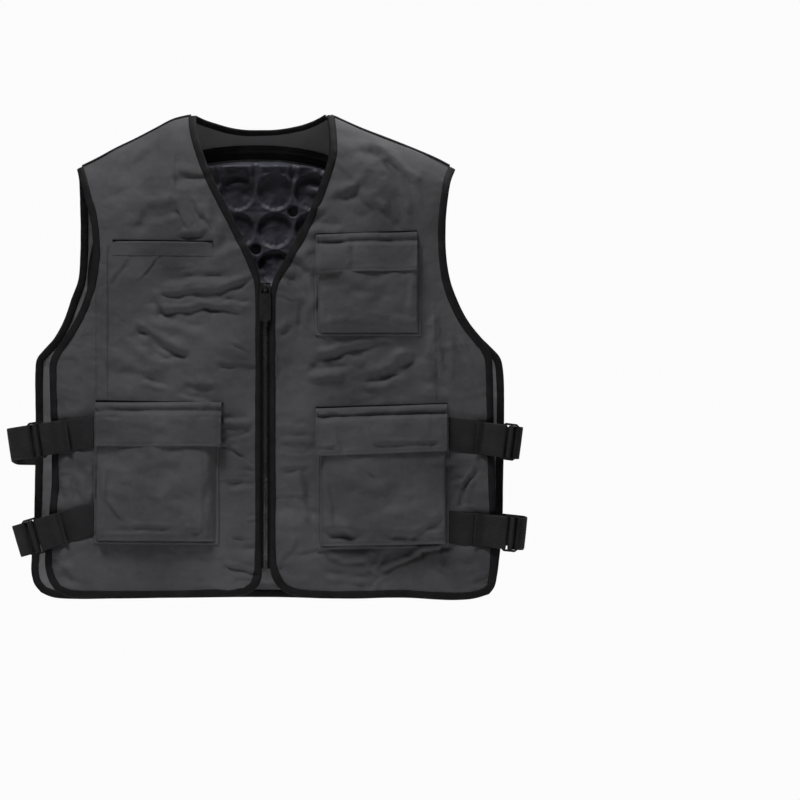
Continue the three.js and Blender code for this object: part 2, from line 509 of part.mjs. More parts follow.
STRAPS.forEach(({ name, pan, s, base, z, droop, step, bar, reach }) => {
  const zAt = (q) => z - droop * (q - base);
  const tilt = Math.atan(droop);
  // across the band: upright at the pocket, square to the band's run from the step on
  const across = (q, h) => {
    const turn = tilt * Math.min(1, Math.max(0, (q - base) / (step - base)));
    return [s * (q + h * Math.sin(turn)), zAt(q) + h * Math.cos(turn)];
  };
  const place = (q, y, h) => {
    const [x, high] = across(q, h);
    return V(x, y, high);
  };
  const rest = (q) => Math.min(...[-18, 0, 18].map((h) => pan.face(...across(q, h)))) - 0.75;
  const edgeY = rest(bar - 14);
  const yb = edgeY - 5.4;
  const r = 1.6 + 0.45 + 0.75;
  const front = [[base, rest(base) - 0.8], [lerp(base, bar, 0.4), rest(lerp(base, bar, 0.4)) - 0.8],
    [bar - 25, rest(bar - 25) - 1], [bar - 18, yb + r], [bar, yb + r], [bar + 1.9, yb + r],
    [bar + r, yb + 1.9], [bar + r, yb - 1.9], [bar + 1.9, yb - r], [bar, yb - r], [bar - 9, yb - r],
    [bar - 17, yb + r - 2.5], [bar - 25, rest(bar - 25) - 3.6], [step, rest(step) - 3]];
  ribbon(`strap_front_${name}`, front, place, 'webbing');
  const backY = (q) => Math.max(...[-18, 0, 18].map((h) => back.face(...across(q, h)))) + 0.75;
  const edge = s < 0 ? 293 : 298;
  const mid = (yb + r + backY(edge - 12)) / 2;
  const loop = [[bar + 6.3, yb + r + 4.4], [bar + 6.3, yb + 0.4],
    [bar + 6.6, yb - r * 0.8], [bar + 8.6, yb - r],
    [bar + 10.6, yb - r * 0.8], [bar + 10.9, yb + 0.2], [bar + 12.6, yb + r], [bar + 18, yb + r + 0.4],
    [lerp(bar + 18, reach, 0.65), lerp(yb + r, mid, 0.35)], [reach - 3, lerp(yb + r, mid, 0.75)],
    [reach - 0.8, lerp(mid, backY(edge - 12), 0.3)], [reach - 5, backY(edge - 12) - 1],
    [edge + 4, backY(edge - 12) + 4.4], [edge - 8, backY(edge - 12) + 3.4], [edge - 16, backY(edge - 16) + 1.4],
    [edge - 40, backY(edge - 40) + 0.8], [edge - 66, backY(edge - 66) + 0.8]];
  ribbon(`strap_back_${name}`, loop, place, 'webbing');
  const { play, rail, thick } = BUCKLE;
  const slot = WEBBING.width / 2 + play;
  const half = slot + rail;
  const box = (q0, q1, h) => [[q0, -h], [q1, -h], [q1, h], [q0, h]];
  const frame = [[-1.6, -half + 2], [1, -half], [14.6, -half], [17.5, -half + 2.5], [17.5, half - 2.5],
    [14.6, half], [1, half], [-1.6, half - 2]];
  const putBuckle = (d) => (q, h) => place(bar + q, yb + d, h);
  plate(`strap_buckle_${name}`, frame, [box(1.6, 7.5, slot), box(9.7, 14.6, slot)],
    putBuckle(-thick / 2), putBuckle(thick / 2), 'plastic');
});

// cooling packs on the inner faces: sealed grid with dished cells, holes between every second corner
const pack = (name, pan, x0, z0, counts, pitch, sides, air, arch) => {
  const most = Math.max(...counts);
  const has = (c, r) => r >= 0 && r < counts.length && Math.abs(c + 0.5 - most / 2) < counts[r] / 2;
  const near = (x, z) => V(x, pan.back(x, z) - pan.side * (air + PACK.thick), z);
  const far = (x, z) => V(x, pan.back(x, z) - pan.side * air, z);
  const rim = 10.5;
  const mid = x0 + (most / 2) * pitch;
  const half = (most / 2) * pitch + rim;
  const low = z0 - counts.length * pitch - rim;
  const high = z0 + (arch ? 15.5 : rim);
  const bend = arch || 18;
  const side = [];
  for (let k = 0; k <= (arch ? 9 : 3); k++) {
    const a = (Math.PI / 2) * (1 - k / (arch ? 9 : 3));
    const reach = arch ? half : 18;
    side.push([half - reach + reach * Math.cos(a) ** 0.87, high - bend + bend * Math.sin(a) ** 0.87]);
  }
  const drop = Math.round((high - bend - low - 12) / pitch);
  for (let k = 1; k <= drop; k++) side.push([half, lerp(high - bend, low + 12, k / drop)]);
  side.push([half - 12, low]);
  const inside = (z, reach) => {
    const n = Math.max(1, Math.round((2 * reach) / pitch));
    return [...Array(n - 1)].map((_, k) => [lerp(-reach, reach, (k + 1) / n), z]);
  };
  const topRow = arch ? [] : inside(high, half - 18);
  const lowRow = inside(low, half - 12).reverse();
  const contour = [...topRow, ...side, ...lowRow, ...side.map(([x, z]) => [-x, z]).reverse()
    .filter(([x]) => Math.abs(x) > 0.01)].map(([x, z]) => [mid + x, z]);
  const [dishes, holes] = [[], []];
  counts.forEach((_, r) => {
    for (let c = 0; c < most; c++) {
      const [cx, cz] = [x0 + (c + 0.5) * pitch, z0 - (r + 0.5) * pitch];
      if (has(c, r)) {
        const ring = (k, scale) => {
          const a = (2 * Math.PI * (k + 0.5)) / sides;
          const out = (PACK.dish * pitch * scale) / PACK.pitch;
          return [cx + out * Math.cos(a), cz + out * Math.sin(a)];
        };
        const rimRing = [...Array(sides)].map((__, k) => ring(k, 1));
        const floor = [...Array(sides)].map((__, k) => {
          const [x, z] = ring(k, 0.74);
          return near(x, z).add(V(0, pan.side * PACK.deep, 0));
        });
        dishes.push({ rim: rimRing, floor });
      }
      const joint = has(c, r) && has(c + 1, r) && has(c, r + 1) && has(c + 1, r + 1);
      if (joint && (c + r) % 2 === 0) {
        const [hx, hz, h] = [x0 + (c + 1) * pitch, z0 - (r + 1) * pitch, PACK.hole];
        holes.push([[hx - h, hz], [hx, hz + h], [hx + h, hz], [hx, hz - h]]);
      }
    }
  });
  plate(name, contour, holes, near, far, 'pack', dishes);
  return [...side.map(([x, z]) => [-x, z]).reverse().slice(1), ...side.slice(arch ? 1 : 0, -1)]
    .map(([x, z]) => [mid + x, z]);
};
const archPath = pack('back_pack', back, -15 - 4 * PACK.pitch, -67.5,
  [4, 6, 8, 8, 8, 8, 8, 8], PACK.pitch, 8, 1.2, 160);
['left', 'right'].forEach((on) => {
  const { x, top, air } = FRONT_PACK[on];
  pack('front_pack_' + on, FRONTS[on], x, top, [4, 4, 4, 4, 4, 4], FRONT_PACK.pitch, 6, air, 0);
});

// arched zip of the back pouch, round the pack
const arched = (lift) => archPath.map(([x, z], k) => {
  const [a, b] = [archPath[Math.max(0, k - 1)], archPath[Math.min(archPath.length - 1, k + 1)]];
  const l = Math.hypot(b[0] - a[0], b[1] - a[1]);
  const [nx, nz] = [-(b[1] - a[1]) / l, (b[0] - a[0]) / l];
  const broad = 9 + 7 * Math.max(0, nz) ** 3;
  return [4, 4 + broad].map((d) => {
    const [px, pz] = [x + nx * d, z + nz * d];
    return V(px, back.back(px, pz) - lift, pz);
  });
});
slab('back_pouch_zip', arched(1.2), arched(2.6), 'tape');

export default group;
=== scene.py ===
# Cooling vest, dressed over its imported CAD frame: cloth, bindings, pockets, zip, straps and packs.
import math

import bmesh
import bpy
import numpy as np
from mathutils import Matrix, Vector


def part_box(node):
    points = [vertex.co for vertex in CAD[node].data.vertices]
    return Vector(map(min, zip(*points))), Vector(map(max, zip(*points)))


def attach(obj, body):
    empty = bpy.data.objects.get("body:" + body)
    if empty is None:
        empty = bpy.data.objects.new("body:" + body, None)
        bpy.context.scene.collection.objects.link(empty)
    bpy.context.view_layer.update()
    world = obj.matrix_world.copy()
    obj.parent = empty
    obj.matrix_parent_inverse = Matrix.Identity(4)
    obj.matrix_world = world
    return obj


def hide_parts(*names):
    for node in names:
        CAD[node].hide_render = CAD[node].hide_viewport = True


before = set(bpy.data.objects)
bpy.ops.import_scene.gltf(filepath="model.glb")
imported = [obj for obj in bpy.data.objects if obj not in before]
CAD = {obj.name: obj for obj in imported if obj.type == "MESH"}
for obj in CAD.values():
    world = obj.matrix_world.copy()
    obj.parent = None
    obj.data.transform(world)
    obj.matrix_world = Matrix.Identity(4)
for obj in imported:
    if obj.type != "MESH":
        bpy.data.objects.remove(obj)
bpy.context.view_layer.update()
MM = 0.001
V = Vector

# camera and light: lengths in metres, powers in watts
CAMERA_AT, LENS = (0.168, -2.78, -0.354), 100
LIT = (0, 0, -0.3)
TOP_LIGHT, TOP_POWER = (1.9, 1.4), 320
FILL_LIGHT, FILL_POWER = (1.6, 2.0), 7
GLOW, BACKDROP = 0.1, 0.97
FLOOR_RADIUS, FLOOR_AT = 1.9, -1.25
scene = bpy.context.scene
cam = bpy.data.objects.new("camera", bpy.data.cameras.new("camera"))
scene.collection.objects.link(cam)
cam.location = CAMERA_AT
cam.rotation_euler = (math.pi / 2, 0, 0)
cam.data.lens = LENS
cam.data.sensor_width = 36
cam.data.clip_end = 50
scene.camera = cam
scene.view_settings.view_transform = "Standard"


def area_light(name, at, size, power):
    light = bpy.data.lights.new(name, "AREA")
    light.shape = "RECTANGLE"
    light.size, light.size_y = size
    light.energy = power
    o = bpy.data.objects.new(name, light)
    o.location = at
    o.rotation_euler = (V(LIT) - V(at)).to_track_quat("-Z", "Y").to_euler()
    scene.collection.objects.link(o)


area_light("key", (-1.4, -2.4, 4.7), TOP_LIGHT, TOP_POWER)
area_light("fill", (2.6, -3.6, 0.2), FILL_LIGHT, FILL_POWER)
area_light("back", (1.4, 2.4, 4.7), TOP_LIGHT, TOP_POWER)
world = bpy.data.worlds.new("pale")
world.use_nodes = True
sky = world.node_tree
sky.nodes["Background"].inputs["Color"].default_value = (1, 1, 1, 1)
# the backdrop is white to the eye, and gives the vest a softer light than it shows
path = sky.nodes.new("ShaderNodeLightPath")
level = sky.nodes.new("ShaderNodeMapRange")
level.inputs["To Min"].default_value = GLOW
level.inputs["To Max"].default_value = BACKDROP
sky.links.new(path.outputs["Is Camera Ray"], level.inputs["Value"])
sky.links.new(level.outputs[0], sky.nodes["Background"].inputs["Strength"])
scene.world = world


# materials
def linear(hexa):
    rgb = [int(hexa[i:i + 2], 16) / 255 for i in (0, 2, 4)]
    return tuple(c / 12.92 if c <= 0.04045 else ((c + 0.055) / 1.055) ** 2.4 for c in rgb) + (1,)


class Look:
    """A material under construction; node() adds one node with its settings and links."""

    def __init__(self, name, rough, sheen=0.0, specular=0.5):
        self.mat = bpy.data.materials.new(name)
        self.mat.use_nodes = True
        self.tree = self.mat.node_tree
        self.link = self.tree.links.new
        self.skin = self.tree.nodes["Principled BSDF"]
        for key, value in {"Roughness": rough, "Sheen Weight": sheen, "Sheen Roughness": 0.4,
                           "Specular IOR Level": specular}.items():
            self.skin.inputs[key].default_value = value
        self.place = self.tree.nodes.new("ShaderNodeTexCoord")
        self.bump = None

    def node(self, kind, settings=None, **links):
        n = self.tree.nodes.new("ShaderNode" + kind)
        for key, value in (settings or {}).items():
            setattr(n, key, value)
        for key, value in links.items():
            numbered = key[0] == "i" and key[1:].isdigit()
            slot = n.inputs[int(key[1:]) if numbered else key.replace("_", " ")]
            if isinstance(value, bpy.types.NodeSocket):
                self.link(value, slot)
            else:
                slot.default_value = value
        return n.outputs[0]

    def noise(self, scale, detail=2.0, rough=0.5, stretch=(1, 1, 1)):
        spread = self.node("Mapping", Vector=self.place.outputs["Object"], Scale=stretch)
        return self.node("TexNoise", Vector=spread, Scale=scale, Detail=detail, Roughness=rough)

    def ribs(self, pitch_mm, axis, distort=0.0):
        """Bands a real pitch apart: the wave texture repeats every 2 pi / 20 at scale 1."""
        return self.node("TexWave", {"wave_type": "BANDS", "bands_direction": axis},
                         Vector=self.place.outputs["UV"], Distortion=distort, Detail=1.0,
                         Scale=2 * math.pi / 20 / (pitch_mm * MM))

    def math(self, what, a, b):
        return self.node("Math", {"operation": what}, i0=a, i1=b)

    def mix(self, a, b, share):
        return self.math("ADD", self.math("MULTIPLY", a, 1 - share), self.math("MULTIPLY", b, share))

    def ramp(self, value, stops):
        n = self.tree.nodes.new("ShaderNodeValToRGB")
        self.link(value, n.inputs[0])
        ends = n.color_ramp.elements
        while len(ends) < len(stops):
            ends.new(0.5)
        for e, (at, colour) in zip(ends, stops):
            e.position = at
            e.color = colour if isinstance(colour, tuple) else (colour, colour, colour, 1)
        return n.outputs[0]

    def colour(self, low, high, value, a=0.3, b=0.7):
        tint = self.ramp(value, [(a, linear(low)), (b, linear(high))])
        self.link(tint, self.skin.inputs["Base Color"])

    def rough(self, value, low, high):
        level = self.ramp(value, [(0.3, low), (0.7, high)])
        self.link(level, self.skin.inputs["Roughness"])

    def relief(self, height, strength, depth_mm):
        n = self.tree.nodes.new("ShaderNodeBump")
        n.inputs["Strength"].default_value = strength
        n.inputs["Distance"].default_value = depth_mm * MM
        self.link(height, n.inputs["Height"])
        if self.bump:
            self.link(self.bump, n.inputs["Normal"])
        self.bump = n.outputs[0]
        self.link(self.bump, self.skin.inputs["Normal"])


def nylon_look(name, low, high, sheen=0.02, rough=0.74):
    # plain-woven nylon: threads drawn 0.9 mm apart (0.45 on the real one, too fine to show),
    # slubs 6 mm long, soft rubbed patches 60 to 90 mm across; matt with a faint sheen
    m = Look(name, rough, sheen, 0.12)
    weave = m.math("MULTIPLY", m.ribs(0.9, "X"), m.ribs(0.9, "Y"))
    m.relief(weave, 0.35, 0.12)
    m.relief(m.noise(170, 3, 0.6, (1, 1, 0.35)), 0.3, 0.5)
    m.relief(m.noise(42, 4, 0.6), 0.4, 1.6)
    patches = m.noise(12, 4, 0.62)
    speck = m.noise(800, 2, 0.6)
    m.colour(low, high, m.mix(m.mix(patches, speck, 0.22), weave, 0.08), 0.34, 0.62)
    m.rough(m.noise(24, 3), rough - 0.1, rough + 0.08)
    return m.mat


def ribbed_look(name, low, high, pitch=1.1):
    # ribbed polyester tape: ribs across the band, fluffed by wear; UV in metres along and across it
    m = Look(name, 0.7, 0.0, 0.06)
    ribs = m.ribs(pitch, "X", distort=0.4)
    m.relief(ribs, 0.6, 0.3)
    m.relief(m.noise(120, 3, 0.6), 0.4, 0.6)
    m.colour(low, high, m.mix(m.noise(60, 3), ribs, 0.35))
    return m.mat


def webbing_look(name, low, high):
    # woven polypropylene webbing: ribs 1.9 mm apart along the band and picks 0.8 mm apart across it
    m = Look(name, 0.62, 0.01, 0.1)
    ribs = m.ribs(1.9, "Y", distort=0.2)
    picks = m.ribs(0.8, "X", distort=0.5)
    m.relief(ribs, 0.6, 0.4)
    m.relief(picks, 0.4, 0.2)
    m.colour(low, high, m.mix(m.noise(45, 4), ribs, 0.4), 0.25, 0.75)
    return m.mat


def moulded_look(name, low, high, rough=0.42, gloss=0.3):
    # moulded or lacquered: fine grain 0.5 mm, faint scuffs 5 mm across
    m = Look(name, rough, 0.0, gloss)
    m.relief(m.noise(1800, 2), 0.12, 0.1)
    m.colour(low, high, m.noise(90, 4, 0.7))
    m.rough(m.noise(200, 4, 0.7), rough - 0.06, rough + 0.14)
    return m.mat


def film_look(name, low, high):
    # heat-sealed nylon film: crinkles 3 to 12 mm across, half-gloss
    m = Look(name, 0.55, 0.0, 0.22)
    cells = m.node("TexVoronoi", {"feature": "DISTANCE_TO_EDGE"},
                   Vector=m.place.outputs["Object"], Scale=85.0)
    m.relief(cells, 0.35, 1.2)
    m.relief(m.noise(150, 4, 0.6), 0.45, 0.8)
    m.colour(low, high, m.noise(30, 4, 0.6))
    m.rough(m.noise(50, 4), 0.42, 0.62)
    return m.mat


CLOTH = nylon_look("grey_nylon_cloth", "3b3b3d", "4e4e50")
POCKET = nylon_look("grey_nylon_pocket", "3a3a3c", "4d4d4f")
# partly painted light: the lining's own paler grey, made paler still to stand in for light on the inside of
# the vest, which lies in shade
LINING_PAINTED_PALER = nylon_look("grey_nylon_lining_painted_paler", "5d5d5f", "6b6b6d", 0.06, 0.6)
BIND = ribbed_look("black_ribbed_binding", "131314", "202021")
# black of the zip tapes, also used as painted shadow in the strips at the pockets' mouths
ZIP_TAPE_AND_SHADOW = ribbed_look("black_zip_tape_and_painted_shadow", "0b0b0c", "141415", 0.8)
WEB = webbing_look("black_webbing", "19191a", "29292b")
BUCKLE = moulded_look("black_nylon_buckle", "101011", "1a1a1c", 0.42, 0.22)
COIL = moulded_look("black_nylon_coil", "0c0c0d", "161617", 0.3, 0.4)
METAL = moulded_look("black_enamelled_zinc", "101011", "1a1a1b", 0.3, 0.5)
FILM = film_look("dark_sealed_film", "303037", "404049")
THREAD = moulded_look("grey_thread", "4a4a4c", "5c5c5e", 0.6)
DARK = moulded_look("black_thread", "161617", "222223", 0.6)


# mesh helpers, all lengths in mm
def add_piece(name, bm, mats, node=None, slot=None):
    bmesh.ops.recalc_face_normals(bm, faces=bm.faces)
    mesh = bpy.data.meshes.new(name)
    bm.to_mesh(mesh)
    bm.free()
    mesh.shade_smooth()
    for mat in mats if isinstance(mats, list) else [mats]:
        mesh.materials.append(mat)
    o = bpy.data.objects.new(name, mesh)
    scene.collection.objects.link(o)
    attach(o, "vest")
    if node:
        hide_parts(node)
    return o


def lay_grid(bm, points, uv, finish=0):
    """Grid of quads moved onto rows of points; its UV map is in metres."""
    rows, cols = points.shape[:2]
    made = bmesh.ops.create_grid(bm, x_segments=cols - 1, y_segments=rows - 1, size=1)["verts"]
    layer = bm.loops.layers.uv.verify()
    for v, p, t in zip(made, points.reshape(-1, 3) * MM, uv.reshape(-1, 2) * MM):
        v.co = p
        for loop in v.link_loops:
            loop[layer].uv = t
            loop.face.material_index = finish


def unit(v):
    """Held between 0 and 1."""
    return np.clip(v, 0, 1)


def bell(v, width):
    return np.exp(-((v / width) ** 2))


def xyz(*axes):
    return np.stack(axes, -1)


def heading(points):
    """Unit steps along a row of points."""
    d = np.gradient(points, axis=0)
    return d / np.linalg.norm(d, axis=1, keepdims=True)


def read(rows, s, at):
    """Points at distances along rows whose own distances are s."""
    return xyz(*[np.interp(at, s, column) for column in rows.T])


def run(points):
    """Distance along a row of points."""
    return np.r_[0, np.cumsum(np.linalg.norm(np.diff(points, axis=0), axis=1))]


def walled(name, outer, inner, mats, **more):
    """Closed sheet between two grids of points of the same size."""
    bm = bmesh.new()
    rows, cols = outer.shape[:2]
    uv = xyz(*np.meshgrid(run(outer[rows // 2]), run(outer[:, cols // 2])))
    lay_grid(bm, outer, uv)
    lay_grid(bm, inner, uv, 1 if isinstance(mats, list) else 0)
    bmesh.ops.bridge_loops(bm, edges=[e for e in bm.edges if e.is_boundary])
    return add_piece(name, bm, mats, **more)


def tube(name, lines, mat, **more):
    """Closed skin through lines of points laid side by side round it, with its ends filled."""
    bm = bmesh.new()
    rings = np.stack(lines + lines[:1], 1)
    uv = xyz(*np.meshgrid(run(rings.mean(1)), run(rings[len(rings) // 2]), indexing="ij"))
    lay_grid(bm, rings, uv)
    bmesh.ops.remove_doubles(bm, verts=bm.verts, dist=1e-6)
    bmesh.ops.holes_fill(bm, edges=[e for e in bm.edges if e.is_boundary], sides=0)
    add_piece(name, bm, mat, **more)


def grain(x, y, seed):
    """Smooth noise from -1 to 1 on a unit lattice."""
    xi, yi = np.floor(x).astype(np.int64), np.floor(y).astype(np.int64)
    fx, fy = x - xi, y - yi
    sx, sy = fx**3 * (fx * (fx * 6 - 15) + 10), fy**3 * (fy * (fy * 6 - 15) + 10)

    def pick(i, j):
        n = (i * 374761393 + j * 668265263 + seed * 97463) & 0x7FFFFFFF
        n = ((n ^ (n >> 13)) * 1274126177) & 0x7FFFFFFF
        return ((n ^ (n >> 16)) & 0xFFFF) / 32767.5 - 1.0

    a = pick(xi, yi) * (1 - sx) + pick(xi + 1, yi) * sx
    b = pick(xi, yi + 1) * (1 - sx) + pick(xi + 1, yi + 1) * sx
    return a * (1 - sy) + b * sy


def layered(x, y, seed, octaves=3):
    total, size = 0.0, 1.0
    for k in range(octaves):
        total = total + size * grain(x * 2**k, y * 2**k, seed + 11 * k)
        size *= 0.5
    return total / 1.75


def curve(rows):
    """Smooth curve through rows of (x, z), as a function of the share of its length."""
    p = np.asarray(rows, float)
    p = np.vstack([2 * p[0] - p[1], p, 2 * p[-1] - p[-2]])
    out = []
    for k in range(1, len(p) - 2):
        a, b, c, d = p[k - 1:k + 3]
        t1 = np.linalg.norm(b - a) ** 0.5
        t2 = t1 + np.linalg.norm(c - b) ** 0.5
        t3 = t2 + np.linalg.norm(d - c) ** 0.5
        t = np.linspace(t1, t2, 25)[:, None][: 25 if k == len(p) - 3 else 24]
        mix = lambda u, v, at_u, at_v: (v - t) / (v - u) * at_u + (t - u) / (v - u) * at_v
        middle = mix(t1, t2, b, c)
        b1 = mix(0, t2, mix(0, t1, a, b), middle)
        b2 = mix(t1, t3, middle, mix(t2, t3, c, d))
        out.append(mix(t1, t2, b1, b2))
    out = np.vstack(out)
    s = run(out) / run(out)[-1]
    return lambda u: read(out, s, u)


# the vest's lengths in mm, as in the CAD
HALF_WIDTH, ROLL, EDGE_DEPTH, THICK = 288, 38, 26, 2.0
# the cloth's middle at the shoulder line, and how far below that line the folds are full
SEAT, CALM_TOP = 0.95, 26
BINDING_WIDTH, BINDING_WRAP = 7.8, 7.6
# zip, with the half lengths of one loop of its coil; then webbing, bent round the buckles' bars
ZIPX, ZTOP, ZLOW, COIL_PITCH, COIL_TILT = 3.5, -222, -560, 1.36, 8
LOOP = (2.1, 1.15, 0.62)
BAND, BAND_THICK, BAR_RADIUS = 40.2, 1.5, 2.8
# packs: cells a pitch apart, welded rim and vent holes
BACK_PITCH, FRONT_PITCH, PACK_MIDDLE = 47.5, 42.5, -15
FILM_THICK, PACK_RIM, HOLE = 9.0, 10.5, 6.3
MIDDLE = {-1: [(-600, 60), (-400, 62), (-200, 66), (0, 58)],
          1: [(-600, 56), (-400, 54), (-200, 60), (0, 50)]}
SHOULDER = [(-236, -66), (-211, -54), (-188, -41), (-163, -29), (-138, -16), (-117, -5), (-103, -1),
    (-88, 2), (74, 3), (87, -1), (96, -5), (121, -16), (154, -29), (186, -41), (214, -54), (237, -66)]
BACK_LEFT = [(-234.5, -66), (-233.4, -78), (-233.9, -102), (-234.5, -139), (-235.6, -170),
    (-238.3, -202), (-247, -227), (-255.6, -252.5), (-269, -278), (-280, -290.6), (-289.3, -303.3),
    (-291.1, -318.4), (-291.1, -379), (-291.7, -455), (-293.5, -518), (-296, -555.6), (-296, -571),
    (-292.3, -586), (-284.4, -596)]
BACK_RIGHT = [(235.6, -66), (230.9, -77.5), (226.1, -101.5), (224.4, -132.4), (225.1, -170),
    (230.2, -202), (239, -227), (251.6, -252.5), (269.2, -275.4), (281.7, -288), (293, -301),
    (296.7, -316), (298, -379), (296.7, -455), (295.5, -518), (291.7, -555.6), (289.2, -574.6),
    (286.1, -589), (280, -598)]
BACK_HEM = [(-284.4, -596), (-270.4, -602), (-243, -604.5), (-175, -604.5), (-87, -604.5), (2.3, -604.2),
    (104, -605.8), (168, -604), (238, -606), (263, -603.4), (280, -598)]
BACK_SHOULDER_LEFT = [(-234.5, -66), (-211, -54.5), (-188, -42), (-163, -30), (-138, -17), (-117, -6),
    (-103, -2), (-88, 0.6)]
BACK_NECK = [(-88, 0.6), (-77.4, -4), (-64, -8), (-45.6, -12.6), (-26.9, -15), (-6.8, -15.4),
    (10.8, -15), (29.8, -12.6), (48.8, -8.6), (65.4, -2.6), (74.3, 1.8)]
BACK_SHOULDER_RIGHT = [(74.3, 1.8), (86.9, -2), (95.6, -6), (120.6, -17), (154.4, -30), (185.6, -42.4),
    (214.4, -54.8), (235.6, -66)]
LEFT_ARM_SIDE = [(-234, -66.5), (-227.4, -83), (-220, -106.5), (-213, -129.3), (-209, -157),
    (-208.6, -181.5), (-212.6, -206), (-220, -230.7), (-231, -255), (-245, -277.3), (-255.8, -292),
    (-262.9, -307), (-263.5, -329), (-261.6, -391), (-261, -452.6), (-266.2, -514.4), (-269.4, -551.5),
    (-268, -566.3), (-263.6, -578.6), (-256, -589)]
LEFT_HEM = [(-256, -589), (-238.8, -595.6), (-201, -596.8), (-126, -595.4), (-58, -593.8),
    (-34, -593.2), (-20, -590.4)]
LEFT_SHOULDER = [(-234, -66.5), (-211, -54.8), (-188, -42.3), (-163, -30.3), (-138, -17.3), (-117, -6.3),
    (-103, -2.5), (-87.8, -0.6)]
LEFT_NECK_ZIP = [(-87.8, -0.6), (-86, -14), (-82, -31), (-65.3, -76.6), (-45.9, -115), (-27, -152.7),
    (-9, -190), (-4.2, -208.6), (-3.6, -232), (-3.6, -354), (-3.6, -525), (-3.2, -546), (-2.4, -562),
    (-3.4, -574), (-9.5, -584), (-20, -590.4)]
RIGHT_ARM_SIDE = [(235.5, -66.5), (230.2, -80), (225.6, -106.4), (222.7, -138), (222.6, -169),
    (227.2, -206), (235.2, -230.5), (247.6, -255), (264.4, -277), (274.4, -289.5), (280, -302),
    (281.3, -319), (282.5, -378.5), (284.4, -453), (286.3, -502), (286.9, -552), (285, -570.3),
    (282, -585), (276, -593)]
RIGHT_HEM = [(32, -590), (45.8, -593.6), (107, -596), (168, -595.2), (236, -599.4), (261, -597.6),
    (276, -593)]
RIGHT_SHOULDER = [(78.2, 0.4), (86.9, -2.6), (95.6, -6.4), (120.6, -17.4), (154.4, -30.4),
    (185.6, -42.8), (214.4, -55.2), (235.5, -66.5)]
RIGHT_NECK_ZIP = [(78.2, 0.4), (81.5, -24), (81.9, -50.8), (68, -99), (49.6, -143.3), (31, -177.7),
    (15.4, -206), (11.6, -222), (10.7, -238), (10.6, -354), (10.6, -525), (10.2, -546), (10.4, -560),
    (13.6, -572), (21, -583), (32, -590)]
CREASE_GAIN = 1.8
